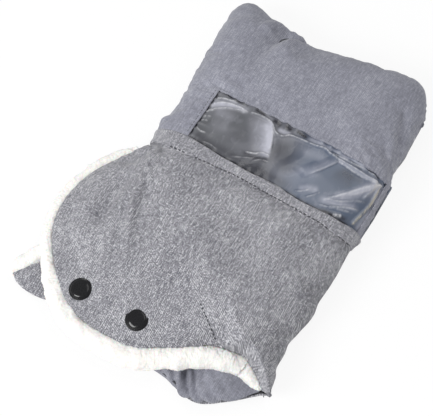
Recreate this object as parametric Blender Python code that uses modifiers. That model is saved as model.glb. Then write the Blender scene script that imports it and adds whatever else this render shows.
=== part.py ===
"""A padded stroller hand muff lying on a table, as separate sewn pieces with a hinged, snap-closed flap.

Run with: blender --background --python part.py
Metres, +Z up. +Y runs from the mouth to the closed far end and +X to the muff's closed right side.
The origin is on the table, under the middle of the body.
"""
from math import cos, exp, hypot, pi, radians, sin, sqrt

import bmesh
import bpy
from mathutils import Matrix, Vector
from mathutils.bvhtree import BVHTree

MM = 0.001

# Overall form of the body
BODY_WIDTH = 200 * MM
FAR_END_Y = 170 * MM
FAR_CORNER_RADIUS = 28 * MM
TOP_ROLL = 56 * MM
TOP_HEIGHT = 60 * MM
SEAM_HEIGHT = 27 * MM
FAR_TOP_HEIGHT = 54 * MM
FAR_SEAM_HEIGHT = 23 * MM
FAR_SLOPE_LENGTH = 120 * MM
MOUTH_SEAM_HEIGHT = 15 * MM
MOUTH_INSET = 5 * MM
CROWN = 3 * MM
HALF_WIDTH = BODY_WIDTH / 2
# At 2 an edge is rounded as a quarter circle; more fills it out
TOP_FULLNESS = 2.35
LOWER_FULLNESS = 2

# Where the filling pushes the far edge out and a tuck draws it in: share of the half width, share of FAR_PUSH
FAR_PUSH = 7 * MM
FAR_PUSH_LENGTH = 60 * MM
FAR_PUSH_SHARES = (
    (-1.12, 0.90),
    (-0.84, 1.00),
    (-0.66, 0.10),
    (-0.43, -0.20),
    (-0.30, -0.90),
    (-0.17, -0.85),
    (0.05, -0.10),
    (0.28, 0.45),
    (0.51, 0.90),
    (0.71, 0.95),
    (0.96, 0.10),
    (1.12, 0.00),
)

# Folds in the top: shares of the depth and width, then a line in shares of HALF_WIDTH and FAR_END_Y
FOLD_DEPTH = 6.5 * MM
FOLD_WIDTH = 13 * MM
FOLD_FADE = 14 * MM
FAR_FOLDS = (
    (-0.86, 0.9, ((-0.33, 0.95), (-0.47, 0.86), (-0.55, 0.75), (-0.59, 0.69))),
    (0.5, 1.0, ((-0.90, 0.92), (-0.82, 0.82), (-0.83, 0.74))),
    (-0.32, 0.8, ((0.96, 0.68), (0.88, 0.74), (0.82, 0.80))),
)
# The same for the flap, with its line in shares of the hinge's length and of the flap's depth
FLAP_FOLDS = (
    (-0.75, 0.75, ((0.10, 0.22), (0.14, 0.40), (0.24, 0.60), (0.34, 0.78))),
    (0.50, 0.80, ((0.05, 0.38), (0.08, 0.56), (0.15, 0.70))),
    (0.55, 0.70, ((0.16, 0.16), (0.24, 0.32), (0.35, 0.46), (0.47, 0.60))),
)

# Seams and running gaps
LAYER_GAP = 0.3 * MM
SEAM_GAP = 0.6 * MM
OVERRUN = 400 * MM
MERGE_DISTANCE = 0.01 * MM
CUT_TOLERANCE = 0.001 * MM

# Layers of the padded wall, outside to inside
CLOTH = 1.2 * MM
FILM = 0.5 * MM
WADDING = 5 * MM
LINING = 1 * MM
FLEECE = 3 * MM
FILM_TOP = CLOTH + LAYER_GAP
WADDING_TOP = FILM_TOP + FILM + LAYER_GAP
WADDING_BOTTOM = WADDING_TOP + WADDING
LINING_TOP = WADDING_BOTTOM + LAYER_GAP
LINING_BOTTOM = LINING_TOP + LINING
FLEECE_BOTTOM = LINING_BOTTOM + LAYER_GAP + FLEECE

# Window in the top
BAND_FRONT_Y = 10 * MM
BAND_WIDTH = 11 * MM
WINDOW_DEPTH = 50 * MM
WINDOW_LEFT_PANEL = 36 * MM
WINDOW_RIGHT_STRIP = 4 * MM
OPENING_RIGHT_EDGE = 14 * MM
SEWN_MARGIN = 6 * MM
HEM_WIDTH = 6 * MM
WINDOW_LEFT_X = WINDOW_LEFT_PANEL - HALF_WIDTH
WINDOW_RIGHT_X = HALF_WIDTH - WINDOW_RIGHT_STRIP
WINDOW_FRONT_Y = BAND_FRONT_Y + BAND_WIDTH
WINDOW_FAR_Y = WINDOW_FRONT_Y + WINDOW_DEPTH
HEM_FAR_Y = WINDOW_FAR_Y + HEM_WIDTH

# Mouth flap, hinged on the straight line from the left side to the right-hand mouth corner
HINGE_LEFT_Y = 8 * MM
HINGE_RIGHT_Y = -131 * MM
HINGE_CLEARANCE = 0.5 * MM
FLAP_DEPTH = 116 * MM
FLAP_EDGE_BASE = 20 * MM
FLAP_EDGE_RISE_SHARE = 0.3
FLAP_EDGE_HEIGHT = FLAP_EDGE_BASE + FLAP_EDGE_RISE_SHARE * (TOP_HEIGHT - FLAP_EDGE_BASE)
# Each point: share of the hinge's length along it, of the flap's depth out from it, and of the edge height
FLAP_EDGE_SHARES = (
    (0.010, 0.060, 0.86),
    (0.000, 0.280, 0.94),
    (0.022, 0.440, 0.97),
    (0.066, 0.608, 0.97),
    (0.118, 0.766, 0.97),
    (0.195, 0.887, 0.97),
    (0.300, 0.957, 0.97),
    (0.395, 0.988, 0.98),
    (0.463, 0.985, 0.98),
    (0.538, 0.945, 0.98),
    (0.612, 0.860, 1.00),
    (0.686, 0.740, 1.02),
    (0.742, 0.550, 1.06),
    (0.787, 0.355, 1.12),
    (0.838, 0.205, 1.08),
    (0.895, 0.122, 0.92),
    (0.948, 0.080, 0.74),
    (0.985, 0.070, 0.62),
)
FLAP_START_SLOPE_SHARE = 0.7
FLAP_END_SLOPE_SHARE = 0.7
# Distances in from the flap's free edge at which its layers start and stop
ROLL_SEAT = 5 * MM
FACING_EDGE = 10 * MM
FACING_WIDTH = 42 * MM
ELASTIC_HEM = 3 * MM
ELASTIC_WIDTH = 6 * MM
ELASTIC_FAR_EDGE = FACING_WIDTH - ELASTIC_HEM
ELASTIC_NEAR_EDGE = ELASTIC_FAR_EDGE - ELASTIC_WIDTH
FACING_MIDDLE = (FACING_EDGE + ELASTIC_NEAR_EDGE) / 2
FACING_LIMIT_SHARE = 0.7
LAYER_LEFT_SHARE = 0.07
LAYER_RIGHT_SHARE = 0.82

# Fleece roll sewn along the flap's free edge
FLEECE_ROLL_RADIUS = 6.6 * MM
FLEECE_ROLL_OUT_SHARE = 0.4
FLEECE_ROLL_END_SHARE = 0.35
FLEECE_ROLL_TAPER_SHARE = 0.18
FLEECE_ROLL_TRIM_SHARE = 0.04

# Snap fasteners, placed by a share along the hinge and a distance in from the flap's free edge
SNAP_ALONG_SHARES = {"left": 0.445, "right": 0.635}
SNAP_LEFT_EDGE_DISTANCE = 13 * MM
SNAP_RIGHT_ELASTIC_GAP = 3.4 * MM
CAP_RADIUS = 9.5 * MM
CAP_HEIGHT = 3 * MM
# Shares of the cap's radius and height, from the dome's middle down to its rim
CAP_PROFILE_SHARES = ((0, 1), (0.45, 0.93), (0.8, 0.72), (0.96, 0.42), (1, 0.17), (0.96, 0))
BARREL_RADIUS = 2.2 * MM
SOCKET_RADIUS = 6.6 * MM
SOCKET_HEIGHT = 3.2 * MM
SOCKET_WEB = 0.7 * MM
SOCKET_BORE_RADIUS = 4.9 * MM
SPRING_WIRE_RADIUS = 0.35 * MM
STUD_HEAD_RADIUS = 3.4 * MM
STUD_NECK_RADIUS = 2.7 * MM
STUD_HEAD_HEIGHT = 1.5 * MM
STUD_FLANGE = 0.8 * MM
# Shares of the stud head's radius and height, from its middle down to its widest place
STUD_PROFILE_SHARES = ((0, 1), (0.7, 1), (1, 0.55))
POST_RADIUS = 5.6 * MM
POST_PLATE = 0.8 * MM
SNAP_EDGE_DISTANCES = {
    "left": SNAP_LEFT_EDGE_DISTANCE,
    "right": ELASTIC_NEAR_EDGE - SNAP_RIGHT_ELASTIC_GAP - POST_RADIUS,
}
SNAP_CLEARANCE = 0.3 * MM
CAP_CLEARANCE = 0.8 * MM
SOCKET_CLEARANCE = 0.6 * MM
SOCKET_BOTTOM = FLEECE_BOTTOM + SOCKET_CLEARANCE + SOCKET_HEIGHT
LIP_DEPTH = SOCKET_BOTTOM + SNAP_CLEARANCE + STUD_FLANGE + SOCKET_CLEARANCE

# Underside, its mouth edge and the lip turned in under the flap
LOWER_ROLL = 34 * MM
MOUTH_FALL_LENGTH = 50 * MM
# Each point: share of the hinge's length along it, share of the flap's depth out from it
LIP_EDGE_SHARES = (
    (0.005, 0.030),
    (0.018, 0.280),
    (0.050, 0.540),
    (0.120, 0.735),
    (0.215, 0.845),
    (0.315, 0.905),
    (0.435, 0.915),
    (0.550, 0.840),
    (0.670, 0.705),
    (0.765, 0.570),
    (0.860, 0.505),
    (0.925, 0.430),
    (0.973, 0.240),
    (0.995, 0.040),
)
LIP_START_SHARE = 0.38
LIP_END_SHARE = 0.93
LIP_HEIGHT = LINING_BOTTOM + 2 * LAYER_GAP + CLOTH
ELASTIC = 0.6 * MM
LIP_FLEECE = 2 * MM

# Corner of the lower lip that sticks out at the left
CORNER_REACH = 42 * MM
CORNER_RISE = 3 * MM
CORNER_START_SHARE = 0.325
CORNER_END_SHARE = 0.455
CORNER_TIP_SHARE = 0.12
CORNER_LEAN_SHARE = 0.28
CORNER_HEIGHT = FLEECE_BOTTOM + LAYER_GAP + CLOTH

# Facets
ROLL_STEPS = 5
TOP_COLUMNS = 10
TOP_ROWS = 5
FLAP_ROWS = 3
UNDERSIDE_MOUTH_ROWS = 5
CORNER_STEPS = 6
CURVE_STEPS = 12
ROUND_STEPS = 20
SHARP_ANGLE = radians(40)

COLLECTION_NAME = "stroller_hand_muff"


def material(name, colour, roughness, metallic=0.0):
    finish = bpy.data.materials.new(name)
    finish.use_nodes = True
    shader = finish.node_tree.nodes["Principled BSDF"]
    shader.inputs["Base Color"].default_value = (*colour, 1.0)
    shader.inputs["Roughness"].default_value = roughness
    shader.inputs["Metallic"].default_value = metallic
    finish.diffuse_color = (*colour, 1.0)
    return finish


def make_materials():
    return {
        "heather": material("grey_heather_cloth", (0.17, 0.175, 0.195), 0.92),
        "lining": material("dark_grey_lining", (0.05, 0.052, 0.058), 0.85),
        "fleece": material("cream_fleece", (0.82, 0.79, 0.74), 0.96),
        "wadding": material("white_wadding", (0.8, 0.8, 0.78), 0.97),
        "film": material("clear_film", (0.33, 0.35, 0.38), 0.12),
        "snap": material("black_snap", (0.012, 0.012, 0.013), 0.18),
        "steel": material("blackened_steel", (0.09, 0.09, 0.095), 0.35, 0.9),
        "elastic": material("white_elastic", (0.72, 0.72, 0.7), 0.8),
    }


# Curves and plan shapes

def smooth_curve(points):
    """A Catmull-Rom curve through the points, as close-set vectors."""
    spread = [points[0] * 2 - points[1], *points, points[-1] * 2 - points[-2]]
    curve = []
    for before, start, end, after in zip(spread, spread[1:], spread[2:], spread[3:]):
        for step in range(CURVE_STEPS):
            t = step / CURVE_STEPS
            curve.append(0.5 * (2 * start + (end - before) * t
                                + (2 * before - 5 * start + 4 * end - after) * t * t
                                + (3 * start - before - 3 * end + after) * t * t * t))
    curve.append(points[-1].copy())
    return curve


def point_at_share(curve, share):
    """The point at a share of the curve's length."""
    lengths = [(b - a).length for a, b in zip(curve, curve[1:])]
    distance = share * sum(lengths)
    for start, end, length in zip(curve, curve[1:], lengths):
        if distance <= length:
            return start.lerp(end, distance / length)
        distance -= length
    return curve[-1].copy()


HINGE_LEFT = Vector((-HALF_WIDTH, HINGE_LEFT_Y, 0))
HINGE_RIGHT = Vector((HALF_WIDTH - MOUTH_INSET, HINGE_RIGHT_Y, 0))
HINGE_ALONG = (HINGE_RIGHT - HINGE_LEFT).normalized()
HINGE_OUT = HINGE_ALONG.cross(Vector((0, 0, 1)))
HINGE_LENGTH = (HINGE_RIGHT - HINGE_LEFT).length
HINGE_HEIGHT = TOP_HEIGHT


def from_hinge(along_share, out_share, height=0.0):
    """A point placed from the hinge's left end, by shares of its length and of the flap's depth."""
    place = HINGE_LEFT + HINGE_ALONG * (HINGE_LENGTH * along_share) + HINGE_OUT * (FLAP_DEPTH * out_share)
    place.z = height
    return place


FLAP_EDGE = smooth_curve([from_hinge(a, o, FLAP_EDGE_HEIGHT * h) for a, o, h in FLAP_EDGE_SHARES])
LIP_EDGE = smooth_curve([from_hinge(a, o) for a, o in LIP_EDGE_SHARES])


def flap_reach(along_share):
    """How far the flap's free edge is from the hinge line, at a share of the hinge's length."""
    places = [place - HINGE_LEFT for place in FLAP_EDGE]
    nearest = min(places, key=lambda place: abs(place.dot(HINGE_ALONG) - HINGE_LENGTH * along_share))
    return nearest.dot(HINGE_OUT)


def corner_inset(distance):
    """How far the side is drawn in at a distance from the far end, round the far corner."""
    if distance >= FAR_CORNER_RADIUS:
        return 0.0
    return FAR_CORNER_RADIUS - sqrt(FAR_CORNER_RADIUS ** 2 - (FAR_CORNER_RADIUS - distance) ** 2)


def eased(share):
    """A smooth change from 0 to 1."""
    share = min(max(share, 0.0), 1.0)
    return share * share * (3 - 2 * share)


def body_plan(across, back):
    """A plan point of the body: across it from 0 to 1, and from the far end, 0, to the hinge line, 1."""
    left_y = FAR_END_Y + (HINGE_LEFT_Y - FAR_END_Y) * back
    right_y = FAR_END_Y + (HINGE_RIGHT_Y - FAR_END_Y) * back
    drawn_in = MOUTH_INSET * eased(right_y / HINGE_RIGHT_Y)
    left = Vector((-HALF_WIDTH + corner_inset(FAR_END_Y - left_y), left_y, 0))
    right = Vector((HALF_WIDTH - corner_inset(FAR_END_Y - right_y) - drawn_in, right_y, 0))
    return left.lerp(right, across)


def spaced_columns():
    """Shares across the body: close together over the rolled sides, even over the top."""
    roll_share = TOP_ROLL / BODY_WIDTH
    left = [roll_share * (1 - cos(pi / 2 * step / ROLL_STEPS)) for step in range(ROLL_STEPS)]
    middle = [roll_share + (1 - 2 * roll_share) * step / TOP_COLUMNS for step in range(TOP_COLUMNS + 1)]
    return left + middle + [1 - share for share in reversed(left)]


def spaced_rows():
    """Shares from the far end to the hinge line: close together over the far roll."""
    mean_length = FAR_END_Y - (HINGE_LEFT_Y + HINGE_RIGHT_Y) / 2
    roll_share = TOP_ROLL / mean_length
    roll = [roll_share * (1 - cos(pi / 2 * step / ROLL_STEPS)) for step in range(ROLL_STEPS)]
    return roll + [roll_share + (1 - roll_share) * step / TOP_ROWS for step in range(TOP_ROWS + 1)]


COLUMNS = spaced_columns()
BODY_ROWS = spaced_rows()
HINGE_ROW = len(BODY_ROWS) - 1
FACING_ROWS = 6
FLAP_EDGE_ROW = HINGE_ROW + FLAP_ROWS + FACING_ROWS


def far_blend(place, at_far_end, elsewhere):
    """A height that changes smoothly from the far end over the far slope."""
    return at_far_end + (elsewhere - at_far_end) * eased((FAR_END_Y - place.y) / FAR_SLOPE_LENGTH)


def seam_height(place):
    """Height of the side seam, which falls towards the far end and the right-hand mouth corner."""
    fall = (SEAM_HEIGHT - MOUTH_SEAM_HEIGHT) * eased(place.y / HINGE_RIGHT_Y)
    return far_blend(place, FAR_SEAM_HEIGHT, SEAM_HEIGHT) - fall


def closed_outline():
    """The body's closed edge in plan, from the left end of the hinge round the far end to the right."""
    left = [body_plan(0, back) for back in reversed(BODY_ROWS)]
    far = [body_plan(across, 0) for across in COLUMNS[1:-1]]
    right = [body_plan(1, back) for back in BODY_ROWS]
    return left + far + right


def nearest_on(outline, place):
    """Distance to the outline, and the height of its nearest point."""
    best = None
    for start, end in zip(outline, outline[1:]):
        run = Vector((end.x - start.x, end.y - start.y))
        to_place = Vector((place.x - start.x, place.y - start.y))
        share = min(max(to_place.dot(run) / max(run.length_squared, MM * MM), 0.0), 1.0)
        near = start.lerp(end, share)
        distance = hypot(place.x - near.x, place.y - near.y)
        if best is None or distance < best[0]:
            best = (distance, near.z)
    return best


def rounded(share, fullness):
    """Height of a rounded edge at a share of its width."""
    return (1 - (1 - min(share, 1.0)) ** fullness) ** (1 / fullness)


def fold_height(folds, place, base_place):
    """How far the folds raise or lower the cloth; their lines are placed by base_place from shares."""
    height = 0.0
    for depth_share, width_share, line in folds:
        line = [base_place(across, back) for across, back in line]
        distance, _ = nearest_on(line, place)
        height += FOLD_DEPTH * depth_share * exp(-(distance / (FOLD_WIDTH * width_share)) ** 2)
    return height


def body_share_place(across, back):
    return Vector((HALF_WIDTH * across, FAR_END_Y * back, 0))


def pushed(place):
    """Moves a point with the far edge, which the filling and the tuck have drawn out of line."""
    share = place.x / HALF_WIDTH
    for (left, low), (right, high) in zip(FAR_PUSH_SHARES, FAR_PUSH_SHARES[1:]):
        if share <= right:
            break
    push = low + (high - low) * (share - left) / (right - left)
    near_end = eased(1 - (FAR_END_Y - place.y) / FAR_PUSH_LENGTH)
    return Vector((place.x, place.y + FAR_PUSH * push * near_end, place.z))


# The two sheets that every sewn layer follows

def top_place(outline, plan):
    distance, _ = nearest_on(outline, plan)
    seam = seam_height(plan) + SEAM_GAP / 2
    side_share = plan.x / HALF_WIDTH
    top = far_blend(plan, FAR_TOP_HEIGHT, TOP_HEIGHT) - CROWN * side_share * side_share
    fold = fold_height(FAR_FOLDS, plan, body_share_place) * eased(distance / FOLD_FADE)
    return Vector((plan.x, plan.y, seam + (top - seam) * rounded(distance / TOP_ROLL, TOP_FULLNESS) + fold))


def flap_insets(length):
    """Distances in from the flap's free edge for its rows, from the hinge line to the edge."""
    marks = (FACING_WIDTH, ELASTIC_FAR_EDGE, ELASTIC_NEAR_EDGE, FACING_MIDDLE, FACING_EDGE, ROLL_SEAT, 0.0)
    scale = min(1.0, FACING_LIMIT_SHARE * length / FACING_WIDTH)
    inner = FACING_WIDTH * scale
    near_hinge = [length + (inner - length) * step / FLAP_ROWS for step in range(1, FLAP_ROWS)]
    return near_hinge + [mark * scale for mark in marks]


def flap_height(start, end, share):
    """A smooth fall from the hinge line to the free edge."""
    slope = end - start
    t = share
    return ((2 * t ** 3 - 3 * t ** 2 + 1) * start + (t ** 3 - 2 * t ** 2 + t) * slope * FLAP_START_SLOPE_SHARE
            + (3 * t ** 2 - 2 * t ** 3) * end + (t ** 3 - t ** 2) * slope * FLAP_END_SLOPE_SHARE)


def top_rows():
    """Rows of points over the top, from the far end over the hinge line to the flap's free edge."""
    outline = closed_outline()
    reach = Vector((0, -FLAP_DEPTH, 0))
    outline = [outline[0] + reach, *outline, outline[-1] + reach]
    rows = [[top_place(outline, body_plan(across, back)) for across in COLUMNS] for back in BODY_ROWS]
    hinge_row = rows[-1]
    fans = []
    for across, start in zip(COLUMNS, hinge_row):
        end = point_at_share(FLAP_EDGE, across)
        length = hypot(end.x - start.x, end.y - start.y)
        fan = []
        for inset in flap_insets(length):
            share = 1 - inset / length
            place = start.lerp(end, share)
            fold = fold_height(FLAP_FOLDS, place, from_hinge)
            fold *= eased((length - inset) / FOLD_FADE) * eased(inset / FOLD_FADE)
            place.z = flap_height(start.z, end.z, share) + fold
            fan.append(place)
        fans.append(fan)
    body = [[pushed(place) for place in row] for row in rows]
    return body + [list(row) for row in zip(*fans)]


def underside_outline():
    """The underside's whole edge, with the height that it rises to."""
    closed = closed_outline()
    for place in closed:
        place.z = seam_height(place) - SEAM_GAP / 2
    mouth = []
    lengths = [(b - a).length for a, b in zip(LIP_EDGE, LIP_EDGE[1:])]
    total = sum(lengths)
    travelled = 0.0
    for place, length in zip(LIP_EDGE, [0.0, *lengths]):
        travelled += length
        from_corner = min(travelled, total - travelled)
        corner = HINGE_LEFT if travelled < total / 2 else HINGE_RIGHT
        height = (seam_height(corner) - SEAM_GAP) * eased(1 - from_corner / MOUTH_FALL_LENGTH)
        mouth.append(Vector((place.x, place.y, height)))
    return [*closed, *reversed(mouth), closed[0]]


def underside_rows():
    """Rows of points over the underside, from the far end over the hinge line to the mouth edge."""
    outline = underside_outline()
    rows = [[body_plan(across, back) for across in COLUMNS] for back in BODY_ROWS]
    for step in range(1, UNDERSIDE_MOUTH_ROWS + 1):
        share = 1 - (1 - step / UNDERSIDE_MOUTH_ROWS) ** 2
        rows.append([body_plan(across, 1).lerp(point_at_share(LIP_EDGE, across), share)
                     for across in COLUMNS])
    for row in rows:
        for place in row:
            distance, height = nearest_on(outline, place)
            place.z = height * (1 - rounded(distance / LOWER_ROLL, LOWER_FULLNESS))
    return [[pushed(place) for place in row] for row in rows]


class Sheet:
    """A curved sheet of quads with a fixed outward direction at each point, from which the layers are cut."""

    def __init__(self, rows, outward, level_sides=True, level_first=True):
        columns = len(rows[0])
        self.mesh = bmesh.new()
        bmesh.ops.create_grid(self.mesh, x_segments=columns - 1, y_segments=len(rows) - 1, size=HALF_WIDTH)
        self.mesh.verts.ensure_lookup_table()
        self.outward = self.mesh.verts.layers.float_vector.new("outward")
        self.row = self.mesh.verts.layers.float.new("row")
        for index, vert in enumerate(self.mesh.verts):
            row, column = divmod(index, columns)
            vert.co = rows[row][column]
            vert[self.row] = row
        self.mesh.normal_update()
        middle = self.mesh.verts[len(rows) // 2 * columns + columns // 2]
        if middle.normal.dot(outward) < 0:
            bmesh.ops.reverse_faces(self.mesh, faces=self.mesh.faces[:])
            self.mesh.normal_update()
        for index, vert in enumerate(self.mesh.verts):
            row, column = divmod(index, columns)
            direction = vert.normal.copy()
            at_side = level_sides and column in (0, columns - 1)
            if at_side or (level_first and row == 0):
                direction.z = 0
            vert[self.outward] = direction.normalized()
        self.columns = columns

    def place(self, row, column, depth=0.0):
        vert = self.mesh.verts[row * self.columns + column]
        return vert.co - vert[self.outward] * depth

    def edge_direction(self, row, column):
        return self.mesh.verts[row * self.columns + column][self.outward].copy()


# Objects

class Builder:
    """Puts named objects with their finishes into the part's collections."""

    def __init__(self):
        self.parts = bpy.data.collections.new(COLLECTION_NAME)
        self.cutters = bpy.data.collections.new("cutters")
        bpy.context.scene.collection.children.link(self.parts)
        bpy.context.scene.collection.children.link(self.cutters)
        self.finishes = make_materials()
        self.flap = bpy.data.objects.new("flap_hinge_axis", None)
        self.flap.location = (HINGE_LEFT + HINGE_RIGHT) / 2 + Vector((0, 0, HINGE_HEIGHT))
        self.parts.objects.link(self.flap)
        bpy.context.view_layer.update()

    def add(self, name, data, finish, on_flap=False):
        part = bpy.data.objects.new(name, data)
        data.materials.append(self.finishes[finish])
        self.parts.objects.link(part)
        if on_flap:
            part.parent = self.flap
            part.matrix_parent_inverse = self.flap.matrix_world.inverted()
        return part

    def cutter(self, name, data):
        tool = bpy.data.objects.new(name, data)
        tool.hide_render = True
        tool.display_type = "WIRE"
        self.cutters.objects.link(tool)
        return tool


def cut_away(mesh, place, direction):
    """Removes what lies past the plane in that direction."""
    geometry = mesh.verts[:] + mesh.edges[:] + mesh.faces[:]
    bmesh.ops.bisect_plane(mesh, geom=geometry, dist=CUT_TOLERANCE, plane_co=place, plane_no=direction,
                           clear_outer=True)


def score(mesh, place, direction):
    """Cuts the faces along the plane and keeps both sides."""
    geometry = mesh.verts[:] + mesh.edges[:] + mesh.faces[:]
    bmesh.ops.bisect_plane(mesh, geom=geometry, dist=CUT_TOLERANCE, plane_co=place, plane_no=direction)


def layer(sheet, near, far, cuts=(), rows=None, hole=None):
    """A closed layer of the sheet between two depths, cut to its panel."""
    mesh = sheet.mesh.copy()
    outward = mesh.verts.layers.float_vector["outward"]
    row_of = mesh.verts.layers.float["row"]
    if rows:
        outside = [face for face in mesh.faces
                   if not rows[0] < sum(vert[row_of] for vert in face.verts) / len(face.verts) < rows[1]]
        bmesh.ops.delete(mesh, geom=outside, context="FACES")
    for place, direction in cuts:
        cut_away(mesh, place, direction)
    if hole:
        low, high = hole
        score(mesh, Vector((low.x, 0, 0)), Vector((1, 0, 0)))
        score(mesh, Vector((high.x, 0, 0)), Vector((1, 0, 0)))
        score(mesh, Vector((0, low.y, 0)), Vector((0, 1, 0)))
        score(mesh, Vector((0, high.y, 0)), Vector((0, 1, 0)))
        middles = [(face, face.calc_center_median()) for face in mesh.faces]
        inside = [face for face, middle in middles if low.x < middle.x < high.x and low.y < middle.y < high.y]
        bmesh.ops.delete(mesh, geom=inside, context="FACES")
    outer = mesh.verts[:]
    raised = bmesh.ops.extrude_face_region(mesh, geom=mesh.faces[:])
    inner = [item for item in raised["geom"] if isinstance(item, bmesh.types.BMVert)]
    for vert in outer:
        vert.co -= vert[outward].normalized() * near
    for vert in inner:
        vert.co -= vert[outward].normalized() * far
    bmesh.ops.triangulate(mesh, faces=mesh.faces[:])
    bmesh.ops.recalc_face_normals(mesh, faces=mesh.faces[:])
    data = bpy.data.meshes.new("layer")
    mesh.to_mesh(data)
    mesh.free()
    data.shade_smooth()
    data.set_sharp_from_angle(angle=SHARP_ANGLE)
    return data


def turned(profile):
    """A line of (radius, height) points, from the top of the axis to its bottom, to be turned about Z."""
    data = bpy.data.meshes.new("turned")
    places = [(radius, 0.0, height) for radius, height in profile]
    data.from_pydata(places, [(index, index + 1) for index in range(len(places) - 1)], [])
    return data


def spin(part):
    screw = part.modifiers.new("turned", "SCREW")
    screw.steps = ROUND_STEPS
    screw.render_steps = ROUND_STEPS
    screw.use_merge_vertices = True
    screw.merge_threshold = MERGE_DISTANCE
    screw.use_smooth_shade = False


def stand(part, place, axis):
    """Moves an object onto the place, with its Z along the axis."""
    world = Matrix.Translation(place) @ axis.to_track_quat("Z", "Y").to_matrix().to_4x4()
    carrier = part.parent.matrix_world.inverted() if part.parent else Matrix.Identity(4)
    part.matrix_parent_inverse.identity()
    part.matrix_basis = carrier @ world


def snap_axes(sheet):
    """Each snap's place on the flap's surface, with its axis square to the cloth around it."""
    surface = BVHTree.FromBMesh(sheet.mesh)
    axes = {}
    for side, along_share in SNAP_ALONG_SHARES.items():
        above = from_hinge(along_share, 0, OVERRUN)
        above += HINGE_OUT * (flap_reach(along_share) - SNAP_EDGE_DISTANCES[side])
        place, axis, _, _ = surface.ray_cast(above, Vector((0, 0, -1)))
        for step in range(ROUND_STEPS):
            around = Matrix.Rotation(2 * pi * step / ROUND_STEPS, 3, "Z") @ Vector((SOCKET_RADIUS, 0, 0))
            axis = axis + surface.ray_cast(above + around, Vector((0, 0, -1)))[1]
        axes[side] = (place, axis.normalized())
    return axes


def build_body(builder, top, underside):
    left, right = Vector((-1, 0, 0)), Vector((1, 0, 0))
    front, far = Vector((0, -1, 0)), Vector((0, 1, 0))
    half_seam = SEAM_GAP / 2
    hinge_cut = (HINGE_LEFT - HINGE_OUT * HINGE_CLEARANCE, HINGE_OUT)

    def y_plane(y, direction):
        return Vector((0, y - direction.y * half_seam, 0)), direction

    def x_plane(x, direction):
        return Vector((x - direction.x * half_seam, 0, 0)), direction

    def shell(name, cuts, finish="heather", near=0.0, deep=CLOTH, hole=None):
        builder.add(name, layer(top, near, deep, [hinge_cut, *cuts], (-1, HINGE_ROW + 2), hole), finish)

    shell("far_shell", [y_plane(HEM_FAR_Y, front)])
    shell("window_hem", [y_plane(WINDOW_FAR_Y, front), y_plane(HEM_FAR_Y, far)])
    shell("window_side_left", [y_plane(WINDOW_FRONT_Y, front), y_plane(WINDOW_FAR_Y, far),
                               x_plane(WINDOW_LEFT_X, right)])
    shell("window_side_right", [y_plane(WINDOW_FRONT_Y, front), y_plane(WINDOW_FAR_Y, far),
                                x_plane(WINDOW_RIGHT_X, left)])
    shell("window_band", [y_plane(BAND_FRONT_Y, front), y_plane(WINDOW_FRONT_Y, far)])
    shell("front_shell", [y_plane(BAND_FRONT_Y, far)])
    film_cuts = [
        y_plane(WINDOW_FRONT_Y - SEWN_MARGIN, front),
        y_plane(WINDOW_FAR_Y + SEWN_MARGIN, far),
        x_plane(WINDOW_LEFT_X - SEWN_MARGIN, left),
        x_plane(HALF_WIDTH - CLOTH, right),
    ]
    shell("window_film", film_cuts, "film", FILM_TOP, FILM_TOP + FILM)
    opening = (Vector((WINDOW_LEFT_X, WINDOW_FRONT_Y, 0)), Vector((WINDOW_RIGHT_X, WINDOW_FAR_Y, 0)))
    inner_opening = (opening[0], Vector((HALF_WIDTH - OPENING_RIGHT_EDGE, WINDOW_FAR_Y, 0)))
    shell("top_wadding", [], "wadding", WADDING_TOP, WADDING_BOTTOM, inner_opening)
    shell("top_lining", [], "lining", LINING_TOP, LINING_BOTTOM, inner_opening)
    builder.add("lower_shell", layer(underside, 0.0, CLOTH), "heather")
    builder.add("lower_wadding", layer(underside, WADDING_TOP, WADDING_BOTTOM), "wadding")
    builder.add("lower_lining", layer(underside, LINING_TOP, LINING_BOTTOM), "lining")


def build_flap(builder, top):
    hinge_cut = (HINGE_LEFT + HINGE_OUT * HINGE_CLEARANCE, -HINGE_OUT)
    side_cuts = [
        (from_hinge(LAYER_LEFT_SHARE, 0), -HINGE_ALONG),
        (from_hinge(LAYER_RIGHT_SHARE, 0), HINGE_ALONG),
    ]
    seat = FLAP_EDGE_ROW - 2
    over_flap = (HINGE_ROW - 1, FLAP_EDGE_ROW + 1)
    to_seat = (HINGE_ROW - 1, seat)
    facing = (FLAP_EDGE_ROW - FACING_ROWS, seat)
    cuts = [hinge_cut, *side_cuts]
    shell = layer(top, 0.0, CLOTH, [hinge_cut], over_flap)
    wadding = layer(top, WADDING_TOP, WADDING_BOTTOM, cuts, to_seat)
    lining = layer(top, LINING_TOP, LINING_BOTTOM, cuts, to_seat)
    fleece = layer(top, LINING_BOTTOM + LAYER_GAP, FLEECE_BOTTOM, side_cuts, facing)
    build_fleece_roll(builder, top)
    return [
        builder.add("flap_shell", shell, "heather", True),
        builder.add("flap_wadding", wadding, "wadding", True),
        builder.add("flap_lining", lining, "lining", True),
        builder.add("flap_fleece", fleece, "fleece", True),
    ]


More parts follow.
